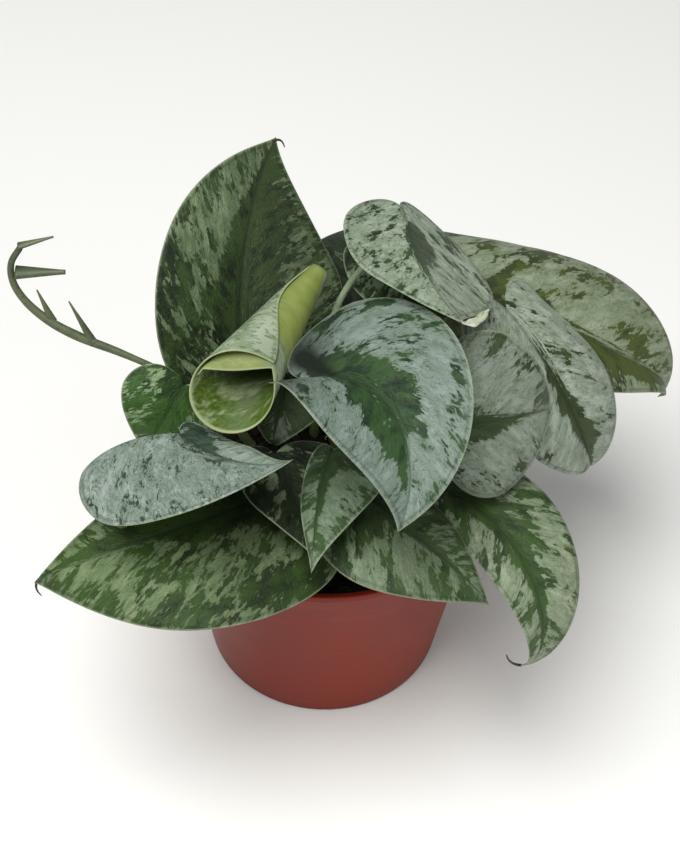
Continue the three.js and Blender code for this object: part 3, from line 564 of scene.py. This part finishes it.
def pot_paint():
    """Brick-red plastic, with a few pale marks round it and a foot darkened as painted shade."""
    paint = Paint("pot_plastic")
    place = paint.place()
    _, _, z = paint.split(place)
    clouds = paint.noise(place, 14.0)
    fine = paint.noise(place, 900.0, detail=2.0)
    marks = paint.noise(place, (30.0, 30.0, 260.0), detail=2.0)
    colour = paint.mix(paint.step(clouds, 0.35, 0.65), (116, 27, 3), (126, 35, 7))
    colour = paint.mix(paint.step(marks, 0.58, 0.72, 0.0, 0.15), colour, (140, 68, 54))
    # Painted shade: the lowest 3 mm, where the pot stands on the floor, go dark.
    colour = paint.mix(paint.step(z, 0.0005, 0.003, 0.7, 0.0), colour, (70, 28, 22))
    roughness = paint.step(clouds, 0.3, 0.7, 0.38, 0.5)
    return paint.finish(colour, roughness, paint.bump(fine, 0.15, 0.0002), specular=0.2)


def soil_paints():
    """Peat, perlite and bark, in the order of the soil's kinds of faces."""
    peat = Paint("peat")
    clouds = peat.noise(peat.place(), 160.0, detail=5.0, roughness=0.7)
    fibre = peat.noise(peat.place(), 1200.0)
    colour = peat.mix(peat.step(clouds, 0.35, 0.65), (10, 10, 10), (24, 22, 20))
    height = peat.add(clouds, peat.times(fibre, 0.5))
    peat.finish(colour, peat.step(fibre, 0.3, 0.7, 0.85, 0.98), peat.bump(height, 0.8, 0.001), specular=0.2)
    perlite = Paint("perlite")
    dust = perlite.noise(perlite.place(), 1500.0)
    colour = perlite.mix(perlite.step(dust, 0.35, 0.65), (150, 144, 134), (196, 192, 184))
    perlite.finish(colour, 0.9, perlite.bump(dust, 0.5, 0.0004), specular=0.2)
    bark = Paint("bark")
    rings = bark.noise(bark.place(), (900.0, 300.0, 900.0), detail=4.0)
    colour = bark.mix(bark.step(rings, 0.35, 0.65), (18, 16, 14), (38, 32, 26))
    bark.finish(colour, bark.step(rings, 0.3, 0.7, 0.75, 0.92), bark.bump(rings, 0.6, 0.0006), specular=0.2)
    return [peat.material, perlite.material, bark.material]


# ---- Meshes ----


def make_piece(name, nodes, vertices, faces, materials, face_materials=None, fields=None):
    """A smooth mesh from points in millimetres, which stands for the given CAD nodes."""
    mesh = bpy.data.meshes.new(name)
    mesh.from_pydata((np.asarray(vertices, float) * MM).tolist(), [], faces)
    for material in materials:
        mesh.materials.append(material)
    if face_materials is not None:
        mesh.polygons.foreach_set("material_index", np.asarray(face_materials, np.int32))
    mesh.polygons.foreach_set("use_smooth", np.ones(len(mesh.polygons), bool))
    for field, values in (fields or {}).items():
        attribute = mesh.attributes.new(field, "FLOAT_VECTOR", "POINT")
        attribute.data.foreach_set("vector", np.asarray(values, np.float32).ravel())
    mesh.validate()
    mesh.update()
    piece = new_object(name, mesh)
    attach(piece, "root")
    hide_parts(*nodes)
    return piece


class Build:
    """Points, faces and fields of one piece, gathered from several closed bodies."""

    def __init__(self):
        self.points, self.faces, self.kinds = [], [], []
        self.fields = {"vein": [], "marks": [], "tone": []}

    def add(self, points, faces, kinds, **fields):
        start = len(self.points)
        self.points.extend(np.asarray(points, float).tolist())
        self.faces.extend([[start + i for i in face] for face in faces])
        self.kinds.extend(kinds)
        blank = np.zeros((len(points), 3))
        for field, values in self.fields.items():
            values.extend(np.asarray(fields.get(field, blank), float).tolist())

    def add_tube(self, kind, path, radii, sides, seed, flat=None):
        points, faces, places = tube(path, radii, sides, seed, flat)
        self.add(points, faces, [kind] * len(faces), vein=places)

    def piece(self, name, nodes, slot, materials):
        make_piece(name, nodes, self.points, self.faces, materials, self.kinds, self.fields)


def unit(vector):
    return vector / np.linalg.norm(vector)


def turn(vector, axis, angle):
    """vector turned about a unit axis."""
    return (vector * math.cos(angle) + np.cross(axis, vector) * math.sin(angle)
            + axis * (axis @ vector) * (1 - math.cos(angle)))


def easy_bend(start, bend, end, steps):
    """A curve from start to end that is drawn towards the bend."""
    start, bend, end = (np.array(point, float) for point in (start, bend, end))
    t = np.linspace(0, 1, steps)[:, None]
    return (1 - t) ** 2 * start + 2 * (1 - t) * t * bend + t**2 * end


def catmull_rom(points, shares):
    """Centripetal Catmull-Rom curve through the points."""
    points = np.asarray(points, float)
    last = len(points) - 1
    result = []
    for share in np.atleast_1d(shares):
        place = share * last
        index = min(int(place), last - 1)
        weight = place - index
        p1, p2 = points[index], points[index + 1]
        p0 = points[index - 1] if index > 0 else 2 * p1 - p2
        p3 = points[index + 2] if index + 2 <= last else 2 * p2 - p1
        d0, d1, d2 = (max(np.sum((b - a) ** 2) ** 0.25, 1e-4) for a, b in ((p0, p1), (p1, p2), (p2, p3)))
        t1 = ((p1 - p0) / d0 - (p2 - p0) / (d0 + d1) + (p2 - p1) / d1) * d1
        t2 = ((p2 - p1) / d1 - (p3 - p1) / (d1 + d2) + (p3 - p2) / d2) * d1
        c2 = -3 * p1 + 3 * p2 - 2 * t1 - t2
        c3 = 2 * p1 - 2 * p2 + t1 + t2
        result.append(p1 + t1 * weight + c2 * weight**2 + c3 * weight**3)
    return np.array(result)


def evenly(path, steps):
    """The same path with its points at even distances."""
    lengths = np.linalg.norm(np.diff(path, axis=0), axis=1)
    reach = np.concatenate([[0], np.cumsum(lengths)])
    wanted = np.linspace(0, reach[-1], steps + 1)
    return np.stack([np.interp(wanted, reach, path[:, k]) for k in range(3)], axis=1)


def circle(radius, sides, shift=0):
    """Points at even steps round a circle, the first turned by a share of a step."""
    angles = [2 * math.pi * (k + shift) / sides for k in range(sides)]
    return [(radius * math.cos(angle), radius * math.sin(angle)) for angle in angles]


def band_faces(rings, sides, first=0):
    """Faces between rings of points that follow one another, from the point numbered first."""
    def number(ring, k):
        return first + ring * sides + k % sides
    return [[number(ring, k), number(ring, k + 1), number(ring + 1, k + 1), number(ring + 1, k)]
            for ring, k in product(range(rings - 1), range(sides))]


def sheet_faces(number, rows, columns, rim_kind):
    """Faces of a thin sheet with two sides, 0 and 1, and a rim, and the kinds of the faces. A
    corner is a side, a row and a column, and corners with one number are taken as one."""
    faces, kinds = [], []

    def put(corners, kind):
        face = list(dict.fromkeys(number(*corner) for corner in corners))
        if len(face) > 2:
            faces.append(face)
            kinds.append(kind)

    for r, c in product(range(rows), range(columns)):
        put([(0, r, c), (0, r, c + 1), (0, r + 1, c + 1), (0, r + 1, c)], 0)
        put([(1, r + 1, c), (1, r + 1, c + 1), (1, r, c + 1), (1, r, c)], 1)
    rim = [(r, 0) for r in range(rows)] + [(rows, c) for c in range(columns)]
    rim += [(r, columns) for r in range(rows, 0, -1)] + [(0, c) for c in range(columns, 0, -1)]
    for here, there in zip(rim, rim[1:] + rim[:1]):
        put([(0, *here), (0, *there), (1, *there), (1, *here)], rim_kind)
    return faces, kinds


def tube(path, radii, sides, seed, flat=None):
    """A closed tube along a path: points, faces and its field of places along and around. flat
    is the tube's thickness at each point, as a share of its width."""
    ways = np.gradient(path, axis=0)
    ways /= np.linalg.norm(ways, axis=1)[:, None]
    side = unit(np.cross(ways[0], (0.0, 0.0, 1.0) if abs(ways[0][2]) < 0.9 else (1.0, 0.0, 0.0)))
    points, field = [], []
    reach = 0.0
    for i, (centre, way) in enumerate(zip(path, ways)):
        side = unit(side - way * (side @ way))
        other = np.cross(way, side) * (1.0 if flat is None else flat[i])
        if i:
            reach += np.linalg.norm(centre - path[i - 1])
        for x, y in circle(1, sides):
            points.append(centre + (side * x + other * y) * radii[i])
            field.append((reach, x, y + seed))
    end = (len(path) - 1) * sides
    faces = band_faces(len(path), sides)
    faces.append(list(range(sides - 1, -1, -1)))
    faces.append(list(range(end, end + sides)))
    return points, faces, field


# ---- Leaves ----

OPEN_LOBE = np.array([(0, 0), (-0.2, 0.3), (-0.1, 1), (0.27, 1)])
CLOSED_LOBE = np.array([(0, 0), (-0.5, -0.15), (-0.25, 1), (0.27, 1)])
TAPER = np.array([(0.27, 1), (0.58, 1), (0.8, 0.22), (1, 0)])
LOBE_SHARE = 0.4
MIDRIB_STEPS = 48
HOOK_START = 0.72
RIPPLES = 2.5
BLADE_ROWS = 64
BLADE_COLUMNS = 24
COLUMN_CROWDING = 1.3
SIDE_VEINS = 9
VEIN_SWEEP = 0.8
VEIN_OFFSET = 0.03
QUILT_HEIGHT = 0.28
GROOVE_DEPTH = 0.45
GROOVE_WIDTH = 0.9
RIB_WIDTH = 1.3
RIB_RISE = 6
EDGE_THICKNESS = 0.12
EXTRA_THICKNESS = 0.2
THIN_MARGIN = 3
BAND_WEIGHT = 0.75
BAND_SOFTNESS = 0.2

TOP, UNDER, STALK, TIP = range(4)


def bezier(corners, t):
    t = t[..., None]
    return ((1 - t) ** 3 * corners[0] + 3 * (1 - t) ** 2 * t * corners[1]
            + 3 * (1 - t) * t**2 * corners[2] + t**3 * corners[3])


def outline(s, side, closed):
    """The blade's edge, as shares of its length and of its half width."""
    lobes = [bezier(OPEN_LOBE * (1 - k) + CLOSED_LOBE * k, np.clip(s / LOBE_SHARE, 0, 1)) for k in closed]
    lobe = np.where((side < 0)[..., None], lobes[1], lobes[0])
    taper = bezier(TAPER, np.clip((s - LOBE_SHARE) / (1 - LOBE_SHARE), 0, 1))
    return np.where((s < LOBE_SHARE)[..., None], lobe, taper)


def midrib(leaf):
    """Places along the midrib, and the ways along it, to the left and up at each."""
    heading, pitch, roll = (math.radians(leaf[k]) for k in ("heading", "pitch", "roll"))
    flat = math.cos(pitch)
    along = np.array([math.cos(heading) * flat, math.sin(heading) * flat, math.sin(pitch)])
    left = np.array([-math.sin(heading), math.cos(heading), 0.0])
    up = np.cross(along, left)
    left, up = turn(left, along, roll), turn(up, along, roll)
    place = np.array(leaf["at"], float)
    frames = [(place, along, left, up)]
    sweep = math.radians(leaf["sweep"]) / MIDRIB_STEPS
    twist = math.radians(leaf["twist"]) / MIDRIB_STEPS
    for i in range(MIDRIB_STEPS):
        late = max(0.0, ((i + 0.5) / MIDRIB_STEPS - HOOK_START) / (1 - HOOK_START))
        hook = leaf["hook"] * late * 2 / (1 - HOOK_START)
        droop = math.radians(leaf["droop"] + hook) / MIDRIB_STEPS
        along, up = turn(along, left, droop), turn(up, left, droop)
        along, left = turn(along, up, sweep), turn(left, up, sweep)
        left, up = turn(left, along, twist), turn(up, along, twist)
        place = place + along * (leaf["length"] / MIDRIB_STEPS)
        frames.append((place, along, left, up))
    return [np.array(column) for column in zip(*frames)]


def blade_points(leaf, frames, s, across):
    """Middle surface of the blade, the way up from it, and each point's distance along the
    midrib and width from it. s runs from the stalk to the tip by way of the edge, and across from
    -1 at the right edge to 1 at the left edge."""
    places, alongs, lefts, ups = frames
    share, side = np.abs(across), np.sign(across)
    edge = outline(s, side, leaf["closed"])
    half = np.where(side < 0, leaf["right"], leaf["left"])
    distance = leaf["length"] * (s * s * (1 - share) + edge[..., 0] * share)
    width = half * edge[..., 1] * share
    step = np.clip(distance / leaf["length"] * MIDRIB_STEPS, 0, MIDRIB_STEPS)
    index = np.minimum(step.astype(int), MIDRIB_STEPS - 1)
    mix = (step - index)[..., None]
    place, left, up = (a[index] * (1 - mix) + a[index + 1] * mix for a in (places, lefts, ups))
    place = place + alongs[0] * np.minimum(distance, 0)[..., None]
    fold = math.radians(leaf["fold"])
    bend = math.radians(leaf["curl"]) / half
    slope = fold - bend * width
    outward = (math.sin(fold) - np.sin(slope)) / bend
    phase = 2 * math.pi * RIPPLES * s + leaf["length"]
    rise = (np.cos(slope) - math.cos(fold)) / bend + leaf["wave"] * (width / half) ** 2 * np.sin(phase)
    point = place + left * (side * outward)[..., None] + up * rise[..., None]
    normal = up * np.cos(slope)[..., None] - left * (side * np.sin(slope))[..., None]
    normal /= np.linalg.norm(normal, axis=-1)[..., None]
    return point, normal, distance, width


def blade_relief(s, across, width, edge):
    """How far the blade rises between its side veins, half its thickness and its rib's depth."""
    share = np.abs(across)
    quilt = np.abs(np.sin(math.pi * SIDE_VEINS * (s + VEIN_OFFSET * np.sign(across))))
    fade = np.clip(share * 5, 0, 1) * np.clip((1 - share) * 4, 0, 1) * np.sin(math.pi * s)
    groove = GROOVE_DEPTH * np.exp(-((width / GROOVE_WIDTH) ** 2)) * np.clip(8 * s, 0, 1) * (1 - s)
    rise = QUILT_HEIGHT * (np.sqrt(quilt) - 0.7) * fade - groove
    thick = EDGE_THICKNESS + EXTRA_THICKNESS * np.clip(edge / THIN_MARGIN, 0, 1)
    rib = RIB * np.minimum(1 - s, RIB_RISE * s) * np.exp(-((width / RIB_WIDTH) ** 2))
    return rise, thick, rib


def soft_spots(spots, s, across):
    """The sum of soft spots, each as (s, across, reach in s, reach across, strength)."""
    total = np.zeros_like(s)
    for at_s, at_across, reach_s, reach_across, strength in spots:
        away = ((s - at_s) / reach_s) ** 2 + ((across - at_across) / reach_across) ** 2
        total += strength * np.exp(-away)
    return total


def blade_fields(style, seed, s, across, distance, width, edge):
    """What a leaf's paint reads. vein: the place among the side veins. marks: how green it is
    there, and how far the edge and the midrib are. tone: the place on the blade, and its painted shade."""
    share = np.abs(across)
    patch = style["patch"]
    half_seed = seed + 3.0 * np.sign(across) * np.clip(share * 12, 0, 1)
    vein = ((distance - VEIN_SWEEP * width) / patch, 1.3 * width / patch, half_seed)
    stations = np.linspace(0, 1, len(style["band"]))
    reach = np.interp(s, stations, style["band"])
    middle = np.interp(s, stations, style["middle"])
    band = np.clip((reach - np.abs(across - middle)) / BAND_SOFTNESS + 0.5, 0, 1)
    outer = np.clip((share - 0.45) / 0.4, 0, 1)
    bias = style["base"] + BAND_WEIGHT * band + style["rim"] * outer
    bias = bias + soft_spots(style["marks"], s, across)
    fields = {"vein": vein, "marks": (bias, edge, width),
              "tone": (s, across, soft_spots(style["shade"], s, across))}
    return {field: np.stack(values, axis=-1) for field, values in fields.items()}


def make_blade(build, name, leaf, frames, seed):
    """A leaf's blade, a closed thin sheet in a grid that is finest beside the midrib."""
    rows = np.linspace(0, 1, BLADE_ROWS + 1)
    half_columns = (np.arange(BLADE_COLUMNS + 1) / BLADE_COLUMNS) ** COLUMN_CROWDING
    columns = np.concatenate([half_columns[::-1], -half_columns[1:]])
    s, across = np.meshgrid(rows, columns, indexing="ij")
    across = np.where((s == 0) | (s == 1), 0.0, across)
    point, normal, distance, width = blade_points(leaf, frames, s, across)
    margin = blade_points(leaf, frames, s, np.where(across < 0, -1.0, 1.0))[0]
    edge = np.linalg.norm(point - margin, axis=-1)
    rise, thick, rib = (values[..., None] for values in blade_relief(s, across, width, edge))
    fields = blade_fields(STYLES[name], seed, s, across, distance, width, edge)

    # The first row and the last are one point each, at the stalk and at the tip.
    last = len(columns) - 1
    kept = [(r, c) for r, c in product(range(BLADE_ROWS + 1), range(last + 1))
            if c == 0 or 0 < r < BLADE_ROWS]
    order = {cell: i for i, cell in enumerate(kept)}

    def number(side, r, c):
        return side * len(kept) + order.get((r, c), order[r, 0])

    faces, kinds = sheet_faces(number, BLADE_ROWS, last, TOP)
    pick = tuple(np.array(kept).T)
    sides = (point + normal * (rise + thick), point + normal * (rise - thick - rib))
    points = np.concatenate([side[pick] for side in sides])
    build.add(points, faces, kinds, **{field: np.tile(grid[pick], (2, 1)) for field, grid in fields.items()})


def stem_points(name):
    (x, y), *rest = STEMS[name]
    return [(x, y, SOIL_Z - STEM_ROOT_DEPTH), (x, y, SOIL_Z), *rest]


def make_stalk(build, leaf, top, seed):
    """A stalk in one easy bend, with a sheath at its foot and a slight swelling at its top."""
    start = catmull_rom(stem_points(leaf["stem"]), leaf["height"])[0]
    path = evenly(easy_bend(start, leaf["bend"], top, 60), 32)
    share = np.linspace(0, 1, len(path))
    radii = 1.42 - 0.4 * share + 0.35 * np.exp(-((share / 0.12) ** 2))
    radii += 0.16 * np.exp(-(((share - 0.86) / 0.07) ** 2))
    radii[-1] *= 0.6
    build.add_tube(STALK, path, radii, 14, seed)


def tip_path(frames, tail, steps):
    """From just inside a leaf's tip by way of the tail's bend to its end."""
    place, along = frames[0][-1], frames[1][-1]
    return easy_bend(place - 2 * along, *tail, steps)


def make_tail(build, frames, tail, seed):
    """The fine brown tail at a leaf's tip."""
    t = np.linspace(0, 1, 20)
    build.add_tube(TIP, tip_path(frames, tail, len(t)), 0.55 - 0.35 * t, 10, seed)


def make_withered_tip(build, frames, strip, seed):
    """The dry end of a leaf's tip, a thin pale strip that curls up and is widest in its middle."""
    t = np.linspace(0, 1, 36)
    radii = 0.45 + 1.3 * np.sin(np.pi * t**1.3) + 0.25 * np.sin(17 * t)
    build.add_tube(TIP, tip_path(frames, strip, len(t)), radii, 16, seed, flat=0.3 + 0.2 * t)


def make_leaf(name, leaf, seed, under, stalk, tip):
    """One leaf with its stalk, and with the fine or the dry end of its tip where it has one."""
    frames = midrib(leaf)
    build = Build()
    make_blade(build, name, leaf, frames, seed)
    along, up = frames[1][0], frames[3][0]
    top = np.array(leaf["at"], float) + along * PETIOLE_LAP - up * (BLADE + RIB) / 2
    make_stalk(build, leaf, top, seed)
    if name in TAILS:
        make_tail(build, frames, TAILS[name], seed)
    if name in WITHERED:
        make_withered_tip(build, frames, WITHERED[name], seed)
    build.piece(f"blade_{name}", [f"leaf_{name}"], "leaf", [leaf_top_paint(name), under, stalk, tip])


# ---- The rolled young leaf ----

SCROLL_RINGS = 60
SCROLL_STEPS = 150
SCROLL_LENGTH = 55
SCROLL_THICKNESS = 0.6
SCROLL_ROUNDING = 0.15
SCROLL_SEED = 40.0


def cone_radius(t):
    """Radius of the young leaf's outermost layer, t from its mouth to its tip."""
    return ROLLED["mouth_radius"] * (1 - t) + ROLLED["tip_radius"] * t


def scroll_point(t, angle, inward):
    """A point of the young leaf, t from its mouth to its tip and angle round the winding."""
    mouth, tip, facing, seam = (np.array(ROLLED[k], float) for k in ("mouth", "tip", "facing", "seam"))
    out = unit(unit(facing) * (1 - t) - unit(tip - mouth) * t)
    first = unit(seam - out * (seam @ out))
    second = np.cross(out, first)
    away = min(angle, abs(2 * math.pi - angle)) / math.radians(ROLLED["lift_angle"])
    lift = ROLLED["corner_lift"] * (1 - t) ** 2 * math.exp(-away)
    radius = cone_radius(t) + lift - ROLLED["layer_step"] * angle / (2 * math.pi)
    across = math.cos(angle - math.radians(ROLLED["fold_angle"]))
    share = ROLLED["fold_share"]
    reach = share + (1 - share) * min(t / ROLLED["fold_length"], 1)
    if angle > 2 * math.pi and across > reach:
        radius *= reach / across
    radius -= inward + 0.5 * math.exp(-angle / 0.25) * min(2 * t, 1)
    seam_share = t ** ROLLED["seam_power"]
    seam_angle = ROLLED["seam_start"] * (1 - seam_share) + ROLLED["seam_end"] * seam_share
    place = mouth * (1 - t) + tip * t
    angle += math.radians(seam_angle)
    return place + first * radius * math.cos(angle) + second * radius * math.sin(angle)


def make_rolled_leaf(stalk):
    """The young leaf, one thin sheet wound more than once round, on its own stalk."""
    points, veins, marks = [], [], []
    wrap = math.radians(ROLLED["wrap"])
    for side, r, c in product(range(2), range(SCROLL_RINGS + 1), range(SCROLL_STEPS + 1)):
        t, share = r / SCROLL_RINGS, c / SCROLL_STEPS
        thin = SCROLL_ROUNDING if min(t, 1 - t, share, 1 - share) == 0 else 0.0
        points.append(scroll_point(t, wrap * share, SCROLL_THICKNESS - thin if side else thin))
        girth = cone_radius(t) * wrap
        veins.append((t * SCROLL_LENGTH, girth * share, SCROLL_SEED))
        edge = min(t * SCROLL_LENGTH, share * girth, (1 - share) * girth)
        marks.append((share * ROLLED["wrap"], edge, t))

    def number(side, r, c):
        return (side * (SCROLL_RINGS + 1) + r) * (SCROLL_STEPS + 1) + c

    build = Build()
    build.add(points, *sheet_faces(number, SCROLL_RINGS, SCROLL_STEPS, UNDER), vein=veins, marks=marks)
    top = scroll_point(ROLLED["stalk_share"], math.radians(ROLLED["stalk_angle"]), -ROLLED["stalk_lap"])
    make_stalk(build, ROLLED, top, 9.0)
    paints = [scroll_outer_paint(), scroll_inner_paint(), stalk]
    build.piece("blade_rolled_young", ["leaf_rolled_young"], "young_leaf", paints)


# ---- Stems and runner ----


def make_stem(name, seed, material):
    """A vine stem with a ring at each node."""
    path = evenly(catmull_rom(stem_points(name), np.linspace(0, 1, 80)), 48)
    share = np.linspace(0, 1, len(path))
    radii = STEM_RADIUS + (STEM_TIP_RADIUS - STEM_RADIUS) * share
    rings = np.abs(((share * 5 + 0.4) % 1) - 0.5)
    radii = radii * (0.93 + 0.12 * np.exp(-((rings / 0.07) ** 2)))
    radii[-1] *= 0.5
    build = Build()
    build.add_tube(0, path, radii, 20, seed)
    build.piece(f"vine_{name}", [f"stem_{name}"], "stem", [material])


def make_runner(material):
    """The thin vine at the left of the photo, with its dried leaf sheaths."""
    path = evenly(catmull_rom(RUNNER_PATH, np.linspace(0, 1, 160)), 110)
    share = np.linspace(0, 1, len(path))
    radii = np.interp(share, np.linspace(0, 1, len(RUNNER_RADII)), RUNNER_RADII)
    radii[-1] *= 0.5
    build = Build()
    build.add_tube(0, path, radii, 14, 3.0)
    t = np.linspace(0, 1, 24)
    for i, (start, end, radius, tip) in enumerate(SHEATHS):
        line = np.array(start, float) * (1 - t[:, None]) + np.array(end, float) * t[:, None]
        build.add_tube(0, line, (radius - tip) * (1 - t) ** 1.2 + tip, 12, 5.0 + i, flat=0.5 + 0.4 * t)
    build.piece("runner_vine", ["runner"], "runner", [material])


# ---- Pot ----

POT_SIDES = 144


def wall_radius(z):
    """Outer radius of the pot's tapered wall at a height."""
    return BASE_RADIUS + (RIM_RADIUS - LIP_OVERHANG - BASE_RADIUS) * z / POT_HEIGHT


def rounded(corners, radius):
    """A profile with each inner corner rounded."""
    corners = [np.array(c, float) for c in corners]
    result = [corners[0]]
    for before, here, after in zip(corners, corners[1:], corners[2:]):
        back, ahead = before - here, after - here
        cut = min(radius, 0.45 * np.linalg.norm(back), 0.45 * np.linalg.norm(ahead))
        result.extend(easy_bend(here + unit(back) * cut, here, here + unit(ahead) * cut, 5))
    return result + [corners[-1]]


def make_pot():
    """The pot, a profile turned round its axis from the middle of its foot to that of its floor."""
    lip = POT_HEIGHT - LIP_HEIGHT
    profile = rounded([
        (0, 0), (CHANNEL_INNER, 0), (CHANNEL_INNER + BEVEL, CHANNEL_DEPTH),
        (CHANNEL_OUTER - BEVEL, CHANNEL_DEPTH), (CHANNEL_OUTER, 0), (BASE_RADIUS - BEVEL, 0),
        (wall_radius(BEVEL), BEVEL), (wall_radius(lip - BEVEL), lip - BEVEL), (RIM_RADIUS, lip),
        (RIM_RADIUS, POT_HEIGHT), (RIM_RADIUS - RIM_WIDTH, POT_HEIGHT), (wall_radius(lip) - WALL, lip),
        (wall_radius(FLOOR_Z) - WALL, FLOOR_Z), (0, FLOOR_Z)], EDGE_ROUNDING)
    points = [(0, 0, 0)]
    for radius, z in profile[1:-1]:
        points += [(x, y, z) for x, y in circle(radius, POT_SIDES)]
    points.append((0, 0, FLOOR_Z))
    end = len(points) - 1
    last_ring = end - POT_SIDES
    faces = [[0, 1 + (k + 1) % POT_SIDES, 1 + k] for k in range(POT_SIDES)]
    faces += band_faces(len(profile) - 2, POT_SIDES, 1)
    faces += [[end, last_ring + k, last_ring + (k + 1) % POT_SIDES] for k in range(POT_SIDES)]
    pot = make_piece("nursery_pot", ["pot"], points, faces, [pot_paint()])
    cut_drain_holes(pot)


def cut_drain_holes(pot):
    """A ring of round holes through the floor, in the channel under it."""
    cutters = []
    for x, y in circle((CHANNEL_INNER + CHANNEL_OUTER) / 2 * MM, DRAIN_HOLES, 0.5):
        bpy.ops.mesh.primitive_cylinder_add(vertices=32, radius=DRAIN_RADIUS * MM, depth=2 * FLOOR_Z * MM,
                                            location=(x, y, FLOOR_Z / 2 * MM))
        cutters.append(bpy.context.object)
    bpy.ops.object.select_all(action="DESELECT")
    for cutter in cutters:
        cutter.select_set(True)
    bpy.context.view_layer.objects.active = cutters[0]
    bpy.ops.object.join()
    cutter = bpy.context.object
    modifier = pot.modifiers.new("drain", "BOOLEAN")
    modifier.operation = "DIFFERENCE"
    modifier.solver = "EXACT"
    modifier.object = cutter
    graph = bpy.context.evaluated_depsgraph_get()
    holed = bpy.data.meshes.new_from_object(pot.evaluated_get(graph))
    pot.modifiers.clear()
    pot.data = holed
    bpy.data.objects.remove(cutter)


# ---- Soil ----

SOIL_RINGS = 44
SOIL_SIDES = 120
BITS = 620
PERLITE_EVERY = 16


def soil_top(x, y):
    """Height of the soil's surface without its finest relief, as in the CAD source."""
    slow = math.sin(0.13 * x + 1) * math.cos(0.11 * y - 0.5)
    quick = 0.5 * math.sin(0.37 * x - 0.29 * y + 2)
    return SOIL_Z + SOIL_RELIEF * (slow + quick)


def soil_radius(z):
    return wall_radius(z) - WALL - SOIL_GAP


def soil_body():
    """The mix as one closed body: a rough top in rings, a plain wall and a flat bottom."""
    points = [(0, 0, soil_top(0, 0))]
    for ring in range(1, SOIL_RINGS + 1):
        for x, y in circle(soil_radius(SOIL_Z) * ring / SOIL_RINGS, SOIL_SIDES):
            rough = noise.fractal(Vector((x, y, 0)) * 0.35, 0.8, 2.0, 4)
            points.append((x, y, soil_top(x, y) + 0.9 * rough))
    bottom = FLOOR_Z + 0.3
    start = len(points)
    points += [(x, y, bottom) for x, y in circle(soil_radius(bottom), SOIL_SIDES)]
    faces = [[0, 1 + k, 1 + (k + 1) % SOIL_SIDES] for k in range(SOIL_SIDES)]
    faces += [[a, d, c, b] for a, b, c, d in band_faces(SOIL_RINGS + 1, SOIL_SIDES, 1)]
    faces.append([start + k for k in range(SOIL_SIDES - 1, -1, -1)])
    return points, faces


def icosahedron():
    """Corners and faces of the twenty-sided solid that each bit of bark or perlite starts as."""
    golden = (1 + 5**0.5) / 2
    pairs = list(product((golden, -golden), (-1, 1)))
    corners = [(near, far, 0) for far, near in pairs] + [(0, near, far) for far, near in pairs]
    corners = [Vector(corner).normalized() for corner in corners + [(far, 0, near) for far, near in pairs]]
    faces = []
    for face in combinations(range(len(corners)), 3):
        a, b, c = (corners[i] for i in face)
        if max((a - b).length, (b - c).length, (c - a).length) < 1.1:
            outward = (b - a).cross(c - a).dot(a) > 0
            faces.append(face if outward else face[::-1])
    return corners, faces


def make_soil():
    """Potting mix: a rough dark surface with bits of bark and perlite lying in it."""
    draw = random.Random(7)
    points, faces = soil_body()
    kinds = [0] * len(faces)
    corners, sheets = icosahedron()
    for i in range(BITS):
        radius = (soil_radius(SOIL_Z) - 3) * math.sqrt(draw.random())
        angle = draw.uniform(0, 2 * math.pi)
        x, y = radius * math.cos(angle), radius * math.sin(angle)
        perlite = i % PERLITE_EVERY == 0
        length = draw.uniform(0.8, 1.5) if perlite else draw.uniform(0.8, 3.2)
        width = length * draw.uniform(0.5, 0.9)
        height = length * (0.8 if perlite else draw.uniform(0.2, 0.45))
        size = Vector((length, width, height))
        spin = Matrix.Rotation(draw.uniform(0, 6.28), 3, "Z")
        lean = Matrix.Rotation(draw.uniform(-0.5, 0.5), 3, "X")
        start = len(points)
        for corner in corners:
            rough = 1 + draw.uniform(-0.22, 0.22)
            spot = spin @ lean @ Vector([c * d for c, d in zip(corner * rough, size)])
            points.append((x + spot.x, y + spot.y, soil_top(x, y) + 0.5 + spot.z))
        faces += [[start + k for k in sheet] for sheet in sheets]
        kinds += [1 if perlite else 2] * len(sheets)
    make_piece("potting_mix", ["soil"], points, faces, soil_paints(), kinds)


# ---- The part ----

make_camera()
make_studio()
underside = leaf_under_paint()
petiole = stalk_paint("petiole", (112, 128, 96), (80, 100, 66), (62, 80, 54))
tail_paint = stalk_paint("leaf_tail", (62, 52, 38), (40, 34, 26), (28, 24, 20))
withered = stalk_paint("withered_tip", (198, 204, 184), (150, 158, 132), (104, 92, 66))
# A paler copy of the petiole paint for the top leaf's stalk: painted light on the stalk that stands highest.
lit_petiole_paint = stalk_paint("petiole_painted_light", (152, 166, 136), (124, 142, 110), (96, 112, 84))
for index, (leaf_name, leaf_values) in enumerate(LEAVES.items()):
    stalk = lit_petiole_paint if leaf_name == "top_silver" else petiole
    tip_paint = withered if leaf_name in WITHERED else tail_paint
    make_leaf(leaf_name, leaf_values, 10.0 * (index + 1), underside, stalk, tip_paint)
make_rolled_leaf(petiole)
vine = stalk_paint("vine", (104, 120, 70), (82, 92, 54), (64, 62, 42))
for index, stem_name in enumerate(STEMS):
    make_stem(stem_name, 4.0 * index, vine)
make_runner(stalk_paint("runner", (90, 98, 68), (70, 80, 56), (56, 50, 50)))
make_pot()
make_soil()
